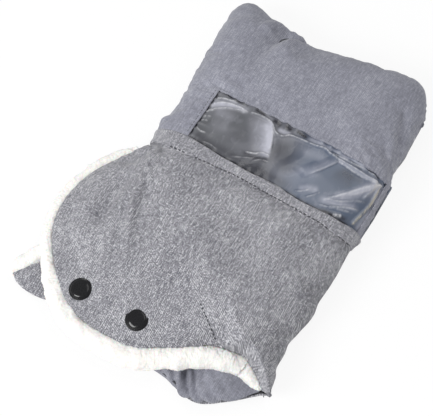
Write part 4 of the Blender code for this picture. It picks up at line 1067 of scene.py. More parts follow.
filmMake = {
    "columns": 290,
    "rows": 100,
    # Heights and widths in millimetres; shine is how white the line is painted: a painted highlight along the crease
    "creases": {
        "topCrease": {"path": ((-31, 64.5), (-21, 66), (-13.5, 66), (-8.3, 64), (-2.4, 58.3), (4.4, 57.5), (9.7, 61.7),
                               (18.4, 63.2), (32, 64.1), (40.4, 66), (47, 63.9), (58.5, 63), (70, 63.4), (82, 63.9),
                               (92, 66.9)),
                      "height": 1.2, "width": 1.3, "easeIn": 0.03, "easeOut": 0.03, "shine": 0.7},
        "secondTop": {"path": ((46, 64.5), (59, 66.4), (70.5, 67.3), (81.6, 69), (90.2, 68.4)), "height": 0.5,
                      "width": 0.8, "shine": 0.5, "easeIn": 0.05, "easeOut": 0.05},
        "leftTop": {"path": ((-62, 57), (-53.5, 62), (-46, 64), (-38.7, 64.4), (-29.9, 63.9)), "height": 1.0,
                    "width": 1.4, "shine": 0.9, "easeIn": 0.02},
        "leftTopTwo": {"path": ((-62, 63.5), (-55, 66), (-43.5, 68)), "height": 0.7, "width": 0.9, "shine": 0.8,
                       "easeIn": 0.02},
        "leftTopThree": {"path": ((-63, 49.5), (-54, 55.4), (-47.7, 59.1), (-39.5, 61.8), (-31.7, 62.9)), "height": 0.7,
                         "width": 0.9, "shine": 0.7, "easeIn": 0.02},
        "leftWhite": {"path": ((-63.5, 47.5), (-61, 49.6), (-57.5, 52)), "height": 0.6, "width": 0.9, "shine": 1.0,
                      "easeIn": 0.02},
        "leftSmall": {"path": ((-63.5, 42), (-60, 43.8), (-56, 45.1)), "height": 0.4, "width": 0.7, "shine": 0.5},
        "leftSmallTwo": {"path": ((-63.5, 38), (-60, 39.6), (-56.5, 40)), "height": 0.4, "width": 0.7, "shine": 0.5},
        "leftSmile": {"path": ((-63, 31), (-57.5, 28.3), (-52, 29)), "height": 0.5, "width": 0.8, "shine": 0.7,
                      "easeIn": 0.02},
        "bandFoot": {"path": ((-15, 29), (-6.6, 32), (-2.7, 35.3), (4.5, 36.2)), "height": 0.9, "width": 1.0,
                     "shine": 0.9, "easeIn": 0.1, "easeOut": 0.1},
        "bandSide": {"path": ((-8.5, 62.5), (-3.2, 55), (0.6, 46), (3.6, 38)), "height": 1.0, "width": 1.2,
                     "rightWidth": 9, "shine": 0.3, "shineWidth": 1.0},
        "elbow": {"path": ((-6.5, 22.5), (-5, 25), (0, 29), (8, 31)), "height": 0.5, "width": 0.9, "shine": 0.4},
        "peakLeft": {"path": ((56, 61), (51.2, 52.8), (44.3, 42), (36.2, 31)), "height": 1.0, "width": 0.8,
                     "rightWidth": 5, "shine": 0.25, "easeIn": 0.02, "easeOut": 0.5},
        "peakRight": {"path": ((56, 61), (68.7, 59.7), (79, 60.7), (91, 65)), "height": 1.0, "width": 4,
                      "rightWidth": 0.8, "shine": 0.6, "easeIn": 0.02, "easeOut": 0.05},
        "fanOne": {"path": ((92.5, 66.3), (86, 57.3), (80.6, 49.3), (74.6, 40.3), (68.5, 32), (60, 24)), "height": 1.1,
                   "width": 1.5, "shine": 0.55, "shineWidth": 0.9, "easeIn": 0.02},
        "fanTwo": {"path": ((92.6, 66.1), (86.1, 52.9), (79.9, 43.9), (72.9, 37)), "height": 0.7, "width": 1.2,
                   "shine": 0.4, "shineWidth": 0.9, "easeIn": 0.02},
        "fanThree": {"path": ((92.8, 65.7), (89.6, 55.6), (87.7, 47.9), (86.5, 43.3)), "height": 0.7, "width": 1.2,
                     "shine": 0.4, "easeIn": 0.02},
        "zigOne": {"path": ((37, 18), (43, 21), (48, 26.5)), "height": 0.6, "width": 0.9, "shine": 0.5, "shineWidth": 0.8},
        "zigTwo": {"path": ((47, 17), (52, 22), (57, 29)), "height": 0.5, "width": 0.8, "shine": 0.4},
        "lowThree": {"path": ((58, 17.5), (68, 20.5), (80, 26), (88, 30)), "height": 0.7, "width": 1.1, "shine": 0.45,
                     "shineWidth": 0.9},
        "lowLeft": {"path": ((-24, 19), (-14, 23.5), (-5, 28)), "height": 0.5, "width": 1.0, "shine": 0.3},
        "lowLeftTwo": {"path": ((-52, 20), (-44, 21), (-36, 19.5)), "height": 0.5, "width": 0.9, "shine": 0.3},
        "lowOne": {"path": ((68, 21.5), (74, 25), (81, 30), (90, 35)), "height": 0.8, "width": 1.0, "shine": 0.5,
                   "easeIn": 0.05, "shineWidth": 0.9},
        "lowTwo": {"path": ((59, 23), (66, 27), (74, 31), (84, 40), (92, 45)), "height": 0.8, "width": 1.2,
                   "shine": 0.35, "shineWidth": 0.9},
        "spot": {"path": ((74.2, 16.6), (77.5, 18.9), (81, 21)), "height": 0.6, "width": 1.4, "shine": 1.6,
                 "shineWidth": 1.3},
        "wornFold": {"path": ((92.8, 67), (93.8, 52.6), (93.3, 42.5), (92, 33.6), (90.3, 20)), "height": 1.4,
                     "width": 1.3, "shine": 0.95, "shineWidth": 0.8, "easeIn": 0.02, "easeOut": 0.05},
        "sideStreak": {"path": ((96.4, 60), (97.4, 44), (96.2, 28)), "height": 0.5, "width": 0.7, "shine": 0.8},
        "whiteBit": {"path": ((19, 14.8), (25, 14.4), (31, 14.3)), "height": 0.4, "width": 0.8, "shine": 1.0},
        "middleSwell": {"path": ((20, 48), (34, 40), (50, 46)), "height": 0.9, "width": 8},
    },
    # Pale where the strength is above 0 and dark where it is below: the pale ones are painted reflections, except
    # topTape and sideHaze, the pale tape and the grey cloth seen through the film; the dark ones are painted shade on
    # the folds and in the gaps at the film's edges
    "paintedReflectionsAndShade": {
        "leftTop": {"path": ((-63, 55), (-52, 61), (-40, 64.5), (-29, 65)), "height": 0.75, "width": 4.5,
                    "rightWidth": 3.5, "easeIn": 0.02},
        "leftReflection": {"path": ((-58, 50), (-48, 52), (-36, 50)), "height": 0.22, "width": 6},
        "paleBand": {"path": ((-13, 71), (-9, 62.5), (-4.6, 55), (-0.8, 46), (2.6, 37), (6, 29)), "height": 0.95,
                     "width": 1.6, "rightWidth": 5.5, "easeIn": 0.3, "easeOut": 0.3},
        "paleBandWide": {"path": ((-20, 72), (-16, 62), (-12, 52), (-8, 42), (-6, 28)), "height": 0.3, "width": 7,
                         "rightWidth": 9, "easeIn": 0.3, "easeOut": 0.35},
        "bandShade": {"path": ((-20, 29), (-6, 29), (8, 34)), "height": -0.6, "width": 1.2, "rightWidth": 3.5},
        "middleShade": {"path": ((6, 55), (16, 42), (26, 26)), "height": -0.5, "width": 9},
        "leftShade": {"path": ((-32, 44), (-28, 38), (-24, 32)), "height": -0.3, "width": 7},
        "leftFaintReflection": {"path": ((-54, 44), (-46, 40), (-38, 44)), "height": 0.16, "width": 6},
        "rightReflection": {"path": ((24, 52), (36, 56), (48, 58)), "height": 0.16, "width": 4},
        "rightShade": {"path": ((56, 52), (66, 50), (76, 52)), "height": -0.3, "width": 6},
        "topTape": {"path": ((22, 67.6), (34, 68), (48, 67.4), (62, 68), (80, 69)), "height": 0.5, "width": 2.4,
                    "easeIn": 0.1, "easeOut": 0.1},
        "gapReflection": {"path": ((-3, 62.5), (4, 62), (10, 65)), "height": 0.6, "width": 2.2},
        "peakLeft": {"path": ((56, 61), (51.2, 52.8), (44.3, 42), (36.2, 31)), "height": 0.40, "width": 0.6,
                     "rightWidth": 6, "easeOut": 0.5},
        "peakRight": {"path": ((54, 61), (68.7, 60.5), (79, 61.5), (91, 66)), "height": 0.5, "width": 3.2,
                      "rightWidth": 0.8, "easeIn": 0.05, "easeOut": 0.05},
        "peakShade": {"path": ((60, 57), (70, 56), (82, 59)), "height": -0.35, "width": 4},
        "fanOne": {"path": ((92.5, 66), (83, 52), (74, 39), (64, 27)), "height": 0.6, "width": 2.5, "easeIn": 0.05},
        "lowReflection": {"path": ((56, 22), (64, 25), (74, 28), (90, 37)), "height": 0.5, "width": 3.0},
        "zigReflection": {"path": ((38, 22), (46, 26), (56, 30)), "height": 0.4, "width": 3.0},
        "fanWedge": {"path": ((92, 64), (84, 48), (76, 37), (66, 29)), "height": 0.35, "width": 4.5, "easeIn": 0.1},
        "lowShade": {"path": ((62, 14.5), (74, 17), (88, 22)), "height": -0.75, "width": 2.2, "rightWidth": 3.4},
        "lowDark": {"path": ((-62, 23), (-40, 21), (-10, 20), (20, 19.5), (44, 19)), "height": -0.5, "width": 4.5,
                    "easeIn": 0.05},
        "sideHaze": {"path": ((96.5, 70), (97, 44), (96.5, 18)), "height": 0.85, "width": 2.6, "easeIn": 0.1,
                     "easeOut": 0.1},
        "sideGap": {"path": ((99, 66), (99.4, 44), (98.8, 22)), "height": -0.9, "width": 0.9, "easeIn": 0.02,
                    "easeOut": 0.02},
        "leftGap": {"path": ((-64.2, 71), (-64.2, 46), (-64.2, 20)), "height": -0.95, "width": 1.3, "rightWidth": 3,
                    "easeIn": 0.02, "easeOut": 0.02},
        "frontGap": {"path": ((-64, 18.9), (-40, 16), (-20, 15.2), (5, 14), (30, 13.5), (50, 12.7), (65, 13.6), (80, 15),
                              (90, 17.8)), "height": -0.85, "width": 1.5, "easeIn": 0.02, "easeOut": 0.02},
        "gapOne": {"path": ((-62, 70), (-50, 70.5), (-40, 69.5), (-34, 67.5)), "height": -0.95, "width": 1.6},
        "gapTwo": {"path": ((-29, 69), (-23, 69.2), (-16, 68)), "height": -1.0, "width": 1.5},
        "gapThree": {"path": ((-11, 68), (-6, 67.4), (-1, 65)), "height": -1.0, "width": 2.2},
        "gapFour": {"path": ((1, 68), (5, 67.5), (9, 66.5)), "height": -1.0, "width": 2.0},
        "gapFive": {"path": ((11, 68.5), (17, 68), (24, 67)), "height": -1.0, "width": 1.8},
        "gapSix": {"path": ((45, 67), (50, 66), (55, 65.4)), "height": -0.9, "width": 1.2},
        "gapSeven": {"path": ((60, 68), (68, 67), (76, 66)), "height": -0.8, "width": 1.4},
        "gapEight": {"path": ((76, 70), (84, 70), (91, 68)), "height": -0.8, "width": 1.2},
    },
}


def foldShine(points, folds):
    # How white each point is painted by the sharpest crease near it: painted highlight lines
    shine = np.zeros(points.shape[:-1])
    for fold in folds.values():
        distance, share = distanceToPath(points[..., :2], smoothCurve(fold["path"], 6))
        taper = eased(share / fold.get("easeIn", 0.25)) * eased((1 - share) / fold.get("easeOut", 0.25))
        width = fold.get("shineWidth", 0.62) * mm
        shine = np.maximum(shine, fold.get("shine", 0) * taper * np.exp(-(distance / width) ** 2))
    return np.minimum(shine, 1)


def writeValues(piece, name, values):
    layer = piece.data.attributes.new(name, "FLOAT", "POINT")
    layer.data.foreach_set("value", values.astype(np.float32).ravel())


def makeFilm(make):
    form = muffForm
    xs = np.concatenate([np.linspace(window["left"] - 5 * mm, 84 * mm, make["columns"] - 50),
                         form["halfWidth"] - 16 * mm * (1 - np.sin(np.linspace(0, pi / 2, 51)[1:]))])
    xs = np.minimum(xs, form["halfWidth"] - 0.25 * mm)
    x, share = np.meshgrid(xs, np.linspace(0, 1, make["rows"]))
    front = window["front"] - bandSag(x, np.full(x.shape, window["front"]))
    y = (window["far"] + 5 * mm) * (1 - share) + (front - 5 * mm) * share
    plain = np.stack([x, y, topHeight(x, y)], -1)
    places = drifted(plain)
    normals = gridNormals(places, (0, 0, 1))
    relief = foldHeights(plain, make["creases"])
    inside = np.minimum(np.minimum(x - window["left"], 98 * mm - x), np.minimum(y - front, window["far"] - y))
    loose = eased(inside / (6 * mm))
    coarse = noiseHeights(plain * np.array([1.0, 0.8, 1]), 17 * mm, 21, 2)
    ridged = 1 - 2 * np.abs(noiseHeights(plain * np.array([0.8, 1.1, 1]), 13 * mm, 33, 1))
    relief = relief + (0.4 * mm * coarse + 0.12 * mm * ridged) * loose
    leftEdge = np.exp(-np.maximum(x - window["left"], 0) / (5 * mm))
    gathers = np.sin(y / (1.35 * mm) + 1.5 * np.sin(y / (5 * mm)))
    relief += 0.5 * mm * leftEdge * gathers
    frontEdge = np.exp(-np.maximum(y - front, 0) / (2.5 * mm))
    relief += 0.4 * mm * frontEdge * np.sin(x / (1.6 * mm) + 2 * np.sin(x / (9 * mm)))
    farEdge = np.exp(-np.maximum(window["far"] - y, 0) / (3.5 * mm))
    relief += 0.8 * mm * farEdge * np.sin(x / (2.1 * mm) + 2.5 * np.sin(x / (7 * mm)))
    tucked = eased(-inside / (2 * mm))
    places = places + normals * (relief * (1 - tucked) - form["filmDepth"])[..., None]
    film = laySheet("windowFilm", places, (0, 0, 1))
    # Painted light on the film: highlight lines along the creases and on the gathers at the left edge, then painted
    # reflections above 0 and painted shade below 0
    writeValues(film, "crease", np.minimum(foldShine(plain, make["creases"]) + 0.3 * leftEdge * np.maximum(gathers, 0), 1))
    writeValues(film, "sheen", np.clip(foldHeights(plain, make["paintedReflectionsAndShade"]) / mm, -1, 1))
    thicken(film, 0.3 * mm, 0)
    return film


windowFilm = makeFilm(filmMake)
finishPiece(windowFilm, "film", "muff", ("window_film",))
print("film made:", len(windowFilm.data.polygons), "faces")


# Band along the window's lower edge, and the hem at its upper edge

def stripRows(ys, xs, lift):
    x, y = np.meshgrid(xs, ys)
    plain = np.stack([x, y, topHeight(x, y)], -1)
    places = sagged(drifted(plain))
    normals = gridNormals(places, (0, 0, 1))
    normals *= np.where(normals[..., 2:] < 0, -1, 1)
    return plain, places + normals * lift(x, y)[..., None]


def rollColumns(left, right, spacing):
    # Columns evenly spaced round the rolled sides
    half = muffForm["halfWidth"]
    roll = muffForm["topRoll"]
    full = np.concatenate([-half + roll * (1 - np.cos(np.linspace(0, pi / 2, 40)))[:-1],
                           np.linspace(-half + roll, half - roll, 48),
                           half - roll * (1 - np.cos(np.linspace(pi / 2, 0, 40)))[1:]])
    inside = full[(full > left) & (full < right)]
    return np.concatenate([[left], inside, [right]])


bandMake = {"front": 9.6 * mm, "far": 21.2 * mm, "lift": 1.3 * mm}


def makeBand(make):
    xs = rollColumns(-99.9 * mm, 99.9 * mm, 1)
    ys = np.array([make["front"] + 0.5 * mm, make["front"], make["front"] + 0.4 * mm, make["front"] + 1.6 * mm,
                   *np.linspace(make["front"] + 2.8 * mm, make["far"] - 2.8 * mm, 4), make["far"] - 1.4 * mm,
                   make["far"] - 0.3 * mm, make["far"], make["far"] - 0.4 * mm])
    lifts = np.array([-1.0, -0.2, 0.9, 1.3, 1.35, 1.2, 1.2, 1.3, 1.35, 1.0, 0.0, -1.4]) * mm
    def lift(x, y):
        ripple = 0.22 * mm * np.sin(x / (4.2 * mm) + 1.7 * np.sin(x / (19 * mm)))
        return lifts[:, None] + ripple * (lifts[:, None] > 0.5 * mm)
    _, places = stripRows(ys, xs, lift)
    for row, y in enumerate(ys):
        places[row, :, 1] += 0.35 * mm * np.sin(places[row, :, 0] / (11 * mm))
    band = laySheet("windowBand", places[::-1], (0, 0, 1))
    thicken(band, 0.9 * mm)
    return band


windowBand = makeBand(bandMake)
finishPiece(windowBand, "bandCloth", "muff", ("window_band",))

hemMake = {"near": 70.4 * mm, "far": 75.2 * mm}


def makeHem(make):
    xs = rollColumns(-78 * mm, 96.5 * mm, 1)
    ys = np.array([make["near"] + 2.4 * mm, make["near"] + 0.6 * mm, make["near"], make["near"] + 0.4 * mm,
                   make["near"] + 1.0 * mm, make["near"] + 2.2 * mm, make["far"]])
    lifts = np.array([-3.4, -3.0, -1.6, -0.4, -0.1, -0.5, -2.0]) * mm
    def lift(x, y):
        gather = 0.35 * mm * np.sin(x / (2.7 * mm) + 2.2 * np.sin(x / (12 * mm)))
        return lifts[:, None] + gather * np.exp(-np.abs(y - make["near"]) / (2.5 * mm))
    _, places = stripRows(ys, xs, lift)
    places[:5, :, 1] += 0.5 * mm * np.sin(places[:5, :, 0] / (3.1 * mm) + 2 * np.sin(places[:5, :, 0] / (14 * mm)))
    hem = laySheet("windowHem", places[::-1], (0, 0, 1))
    thicken(hem, 0.8 * mm)
    return hem


windowHem = makeHem(hemMake)
finishPiece(windowHem, "farCloth", "muff", ("window_hem",))
print("band and hem made")


# Sherpa fleece: a roll along the flap's free edge, and its facing under the flap

def tubeRows(centres, radii, sides, up, tall):
    # Rings round a line, each ring's first point towards up
    tangents = np.gradient(centres, axis=0)
    tangents /= np.linalg.norm(tangents, axis=1, keepdims=True)
    rings = []
    for centre, tangent, radius, upward, height in zip(centres, tangents, radii, up, tall):
        side = np.cross(tangent, upward)
        side /= np.linalg.norm(side)
        top = np.cross(side, tangent)
        angles = np.linspace(0, 2 * pi, sides + 1)[:-1]
        rings.append(centre + radius * (height * np.cos(angles)[:, None] * top + np.sin(angles)[:, None] * side))
    return np.array(rings)


def fluffyTube(name, centres, radii, tall, sides, look):
    rings = tubeRows(centres, radii, sides, np.tile((0, 0, 1.0), (len(centres), 1)), tall)
    closed = np.concatenate([rings, rings[:, :1]], axis=1)
    ends = np.concatenate([np.repeat(centres[:1, None], sides + 1, 1), closed, np.repeat(centres[-1:, None], sides + 1, 1)])
    piece = laySheet(name, ends, (0, 0, 1))
    pick(piece)
    bpy.ops.object.mode_set(mode="EDIT")
    bpy.ops.mesh.select_all(action="SELECT")
    bpy.ops.mesh.remove_doubles(threshold=0.00001)
    bpy.ops.mesh.normals_make_consistent(inside=False)
    bpy.ops.object.mode_set(mode="OBJECT")
    useModifier(piece, "SUBSURF", levels=1, render_levels=1)
    fluff(piece, look)
    piece.data.shade_smooth()
    return piece


def fluff(piece, look):
    # Curled tufts: the surface is pushed out along its normals by rounded cells and fine hair
    places = readPlaces(piece)
    normals = np.zeros(len(places) * 3, np.float32)
    piece.data.vertices.foreach_get("normal", normals)
    normals = normals.reshape(-1, 3)
    heights = []
    for place in places:
        point = Vector(place)
        near = noise.voronoi(point / look["tuft"])[0]
        tuftShape = 0.55 - near[0]
        fine = noise.fractal(point / look["hair"], 0.9, 2.1, 3)
        sway = noise.noise(point / look["sway"])
        heights.append(look["tuftHeight"] * tuftShape + look["hairHeight"] * fine + look["swayHeight"] * sway)
    writePlaces(piece, places + normals * np.array(heights)[:, None])


rollMake = {
    "trim": 0.006,
    "rings": 430,
    "sides": 30,
    "shares": (0.006, 0.05, 0.12, 0.28, 0.38, 0.46, 0.54, 0.62, 0.70, 0.80, 0.88, 0.94, 0.975, 0.994),
    "radii": (3.4, 5.2, 5.4, 5.2, 6.6, 8.4, 9.0, 9.2, 9.2, 9.4, 10.0, 9.4, 6.4, 2.0),
    "tall": (1.0, 1.0, 1.0, 1.0, 1.0, 1.0, 1.0, 0.98, 0.95, 0.95, 0.95, 1.0, 1.0, 1.0),
    "out": (0.5, 0.6, 0.6, 0.58, 0.6, 0.62, 0.62, 0.64, 0.64, 0.62, 0.58, 0.5, 0.4, 0.3),
    "look": {"tuft": 3.4 * mm, "tuftHeight": 0.75 * mm, "hair": 1.1 * mm, "hairHeight": 0.5 * mm, "sway": 8 * mm,
             "swayHeight": 1.3 * mm},
}


def makeRoll(make):
    shares = np.linspace(make["trim"], 1 - make["trim"], make["rings"])
    edge = drifted(alongCurve(flapEdge, shares))
    tangent = np.gradient(edge, axis=0)
    tangent /= np.linalg.norm(tangent, axis=1, keepdims=True)
    outward = np.cross(tangent, (0, 0, 1.0))
    outward /= np.linalg.norm(outward, axis=1, keepdims=True)
    if outward[len(outward) // 2] @ hingeOut < 0:
        outward = -outward
    radii, tall, out = (np.interp(shares, make["shares"], make[key]) for key in ("radii", "tall", "out"))
    centres = edge + outward * (radii * mm * out)[:, None]
    centres[:, 2] -= 0.9 * mm + radii * mm * tall * np.sqrt(1 - out ** 2)
    return fluffyTube("fleeceRoll", centres, radii * mm, tall, make["sides"], make["look"])


fleeceRoll = makeRoll(rollMake)
finishPiece(fleeceRoll, "fleece", "mouth_flap", ("flap_fleece_roll",))
print("fleece roll made:", len(fleeceRoll.data.polygons), "faces")

facingMake = {"inner": 38 * mm, "outer": 7 * mm, "rows": 26, "left": 0.05, "right": 0.86,
              "look": {"tuft": 4.6 * mm, "tuftHeight": 1.9 * mm, "hair": 1.4 * mm, "hairHeight": 0.4 * mm,
                       "sway": 16 * mm, "swayHeight": 0.5 * mm}}


def makeFacing(make):
    across = np.linspace(0.09, 0.84, 130)
    rows, hinge = frontRows(frontCoverMake, across=across)
    rows = drifted(rows)
    normals = gridNormals(rows, (0, 0, 1))
    start, end = rows[hinge - 1], rows[-1]
    length = np.linalg.norm((end - start)[:, :2], axis=1)
    inner = np.minimum(make["inner"], 0.7 * length)
    flapRows = rows[hinge - 1:]
    flapNormals = normals[hinge - 1:]
    count = len(flapRows) - 1
    places = []
    for step in range(make["rows"] + 1):
        inset = inner + (make["outer"] - inner) * step / make["rows"]
        at = (1 - inset / length) * count
        low = np.clip(np.floor(at).astype(int), 0, count - 1)
        part = (at - low)[:, None]
        columns = np.arange(len(across))
        place = flapRows[low, columns] * (1 - part) + flapRows[low + 1, columns] * part
        normal = flapNormals[low, columns] * (1 - part) + flapNormals[low + 1, columns] * part
        places.append(place - normal * muffForm["facingDepth"])
    facing = laySheet("flapFacing", np.array(places), (0, 0, -1))
    useModifier(facing, "SOLIDIFY", thickness=1.5 * mm, offset=-1.0)
    useModifier(facing, "SUBSURF", levels=1, render_levels=1)
    fluff(facing, make["look"])
    facing.data.shade_smooth()
    return facing


flapFacing = makeFacing(facingMake)
finishPiece(flapFacing, "fleece", "mouth_flap", ("flap_fleece",))
print("facing made:", len(flapFacing.data.polygons), "faces")


# Lower lip: a soft rolled edge that turns in under the flap, gathered by its elastic

lipMake = {
    "columns": 300,
    "startShare": 0.02,
    "endShare": 0.992,
    "pleats": {"first": (0.795, 0.008, -4.5), "second": (0.814, 0.009, 2.4), "third": (0.836, 0.0085, -7.0),
               "fourth": (0.853, 0.008, 2.6), "fifth": (0.867, 0.005, -3.6), "sixth": (0.884, 0.009, 1.6),
               "twelfth": (0.765, 0.008, -2.0), "thirteenth": (0.905, 0.006, -1.6),
               "seventh": (0.52, 0.012, -2.4), "eighth": (0.45, 0.014, 2.0), "ninth": (0.36, 0.012, -2.0),
               "tenth": (0.25, 0.014, 1.8), "eleventh": (0.945, 0.010, -1.0)},
}


def makeLip(make):
    shares = np.linspace(make["startShare"], make["endShare"], make["columns"])
    edge = alongCurve(lipEdge, shares)
    edge = drifted(edge)
    tangent = np.gradient(edge, axis=0)
    tangent /= np.linalg.norm(tangent, axis=1, keepdims=True)
    outward = np.cross(tangent, (0, 0, 1.0))
    outward /= np.linalg.norm(outward, axis=1, keepdims=True)
    if outward[len(outward) // 2] @ hingeOut < 0:
        outward = -outward
    flapRows, hinge = frontRows(frontCoverMake, across=shares)
    flapRows = drifted(flapRows)
    normals = gridNormals(flapRows, (0, 0, 1))
    start, end = flapRows[hinge - 1], flapRows[-1]
    length = np.linalg.norm((end - start)[:, :2], axis=1)
    toLeft, toRight = shares - make["startShare"], make["endShare"] - shares
    narrow = eased(np.minimum(toLeft / 0.12, toRight / 0.06))[:, None]
    low = eased(np.minimum(toLeft, toRight) / 0.12)[:, None]
    edge = edge - outward * (6 * mm * (1 - eased(toLeft / 0.16)) + 4 * mm * (1 - eased(toRight / 0.05)))[:, None]
    base = underPlaces[-1]
    baseZ = np.interp(shares, np.linspace(0, 1, len(base)), base[:, 2])[:, None]
    up = np.array([0, 0, 1.0])
    rightEnd = (1 - eased(toRight / 0.1))[:, None]
    # Outward reach and height of the rolled edge, from under the muff round to its top
    section = ((-16, 0.6), (-9, 0.25), (-3.5, 0.6), (0.2, 2.4), (1.8, 5.2), (1.7, 8.2), (0.2, 10.9), (-3.0, 13.0), (-7.5, 14.6))
    rows = []
    for reach, height in section:
        rows.append(edge + outward * reach * mm * (0.35 + 0.65 * narrow) + up * (height * mm * (0.12 + 0.88 * low) + baseZ))
    target = []
    columns = np.arange(len(shares))
    count = len(flapRows) - hinge
    for inset in (12, 18, 25, 33, 40):
        reachIn = np.minimum(inset * mm, 0.8 * length * inset / 40)
        at = hinge - 1 + (1 - reachIn / length) * count
        below = np.clip(np.floor(at).astype(int), 0, len(flapRows) - 2)
        part = (at - below)[:, None]
        place = flapRows[below, columns] * (1 - part) + flapRows[below + 1, columns] * part
        normal = normals[below, columns] * (1 - part) + normals[below + 1, columns] * part
        target.append(place - normal * muffForm["lipDepth"] - (hingeAlong * 9 * mm + up * 6 * mm) * rightEnd)
    last = rows[-1]
    for index, place in enumerate(target):
        share = eased((index + 1) / len(target))
        rows.append(place * share + (last - outward * 6 * mm * (index + 1) + up * 0.5 * mm * index) * (1 - share))
    places = np.array(rows)
    # Even rows along each section
    fine = []
    for column in range(places.shape[1]):
        fine.append(alongCurve(smoothCurve(places[:, column], 5), np.linspace(0, 1, 46)))
    places = np.array(fine).transpose(1, 0, 2)
    normals = gridNormals(places, (0, 0, 1))
    relief = np.zeros(places.shape[:2])
    along = np.linspace(0, 1, places.shape[0])[:, None]
    bend = 0.24 * (along - 0.25)
    for centre, width, height in make["pleats"].values():
        relief += height * mm * np.exp(-((shares[None] + bend - centre) / width) ** 2)
    relief *= eased(along / 0.25) * (1 - 0.4 * along)
    relief += 0.5 * mm * noiseHeights(places, 12 * mm, 40)
    rolled = eased((places[..., 2]) / (3 * mm))
    places = places + normals * (relief * rolled)[..., None]
    lip = laySheet("lipCover", places, (0, 0, 1))
    thicken(lip, muffForm["clothDepth"])
    return lip


lipCover = makeLip(lipMake)
# The lip's cloth is darkened: painted shade under the flap
finishPiece(lipCover, "lipClothShaded", "muff", ("lip_shell", "lip_elastic"))
print("lip made:", len(lipCover.data.polygons), "faces")


# Corner of the lower lip that sticks out at the left: cloth on its lower side, fleece folded over its upper edge

cornerMake = {
    "clothEdge": ((-132.5, -146.5), (-123, -149.8), (-113, -150.8), (-103, -150), (-93, -147.5), (-83, -143)),
    "seam": ((-133, -145.8), (-130, -140.5), (-127.4, -135), (-122.5, -128), (-114, -120), (-101, -114)),
    "fleeceLine": ((-133, -146, 9.5), (-135, -140.5, 11.5), (-133, -134.5, 13.5), (-129, -128, 15.5), (-124, -120, 17),
                   (-117, -111, 18)),
    "fleeceRadii": (3.4, 5.8, 6.8, 7.0, 6.8, 5.5),
}


def makeCorner(make):
    lower = smoothCurve([(x, y) for x, y in make["clothEdge"]], 8)
    upper = smoothCurve([(x, y) for x, y in make["seam"]], 8)
    shares = np.linspace(0, 1, 30)
    low = alongCurve(lower, shares) * mm
    high = alongCurve(upper, shares) * mm
    rows = []
    # Round the lower edge and over the top to the fleece
    for t in np.linspace(-0.35, 1, 24):
        if t < 0:
            plan = low + (high - low) * (-t) * 1.2
            z = (2.2 + 3.0 * (1 + t / 0.35)) * mm
        else:
            plan = low + (high - low) * t
            z = (5.2 + 11.5 * np.sqrt(max(t, 0.0)) - 1.0 * t) * mm
        rows.append(np.column_stack([plan, np.full(len(plan), z)]))
    places = np.array(rows)
    swellUp = np.sin(np.linspace(0, pi, 30))[None, :] * np.clip(np.linspace(-0.35, 1, 24), 0, 1)[:, None]
    places[..., 2] += 1.5 * mm * swellUp
    piece = laySheet("cornerCloth", places, (0, 0, 1))
    thicken(piece, muffForm["clothDepth"])
    return piece


cornerCloth = makeCorner(cornerMake)
finishPiece(cornerCloth, "cloth", "muff", ("corner_shell",))


def makeCornerFleece(make):
    line = smoothCurve([(x, y, z) for x, y, z in make["fleeceLine"]], 12) * mm
    shares = np.linspace(0, 1, 60)
    centres = alongCurve(line, shares)
    radii = np.interp(shares, np.linspace(0, 1, len(make["fleeceRadii"])), make["fleeceRadii"]) * mm
    return fluffyTube("cornerFleece", centres, radii, np.ones(len(centres)), 20, rollMake["look"])


cornerFleece = makeCornerFleece(cornerMake)
finishPiece(cornerFleece, "fleece", "muff", ("corner_fleece", "lip_fleece"))
print("corner made")


# Snap fasteners

capMake = {"rings": ((9.5, 0.35), (9.6, 0.9), (9.45, 1.35), (9.1, 1.6), (8.75, 1.5), (8.45, 1.35), (8.2, 1.6), (7.8, 2.2),
                     (7.2, 2.65), (6.2, 2.95), (4.4, 3.15), (2.4, 3.25), (0.9, 3.27)),
           "under": ((9.2, 0.05), (7.0, 0.0), (2.2, 0.0)), "barrel": 11.0, "segments": 64}


def snapAxis(node):
    places = np.array([vert.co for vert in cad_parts[node].data.vertices], float)
    top = places[places[:, 2] > places[:, 2].mean()]
    top = top[np.linalg.norm(top - top.mean(0), axis=1) > 6 * mm]
    centre = top.mean(0)
    axis = np.linalg.eigh(np.cov((top - centre).T))[1][:, 0]
    axis = axis if axis[2] > 0 else -axis
    return centre + axis * ((top - centre) @ axis).min(), axis


def turnedPiece(name, rings, segments):
    # One circle, extruded ring by ring as a lathe profile, closed at both ends
    pickNothing()
    radius, height = rings[0]
    bpy.ops.mesh.primitive_circle_add(vertices=segments, radius=radius * mm, location=(0, 0, height * mm),
                                      fill_type="NGON")
    piece = bpy.context.active_object
    piece.name = name
    bpy.ops.object.mode_set(mode="EDIT")
    bpy.ops.mesh.select_mode(type="FACE")
    bpy.ops.mesh.select_all(action="SELECT")
    for newRadius, newHeight in rings[1:]:
        bpy.ops.mesh.extrude_region_move(TRANSFORM_OT_translate={"value": (0, 0, (newHeight - height) * mm)})
        bpy.ops.transform.resize(value=(newRadius / radius, newRadius / radius, 1))
        radius, height = newRadius, newHeight
    bpy.ops.mesh.select_all(action="SELECT")
    bpy.ops.mesh.normals_make_consistent(inside=False)
    bpy.ops.object.mode_set(mode="OBJECT")
    return piece


def settle(piece, place, axis):
    turn = Vector(axis).to_track_quat("Z", "Y").to_matrix().to_4x4()
    piece.data.transform(Matrix.Translation(Vector(place)) @ turn @ piece.matrix_world)
    piece.matrix_world = Matrix.Identity(4)
    piece.data.shade_smooth()


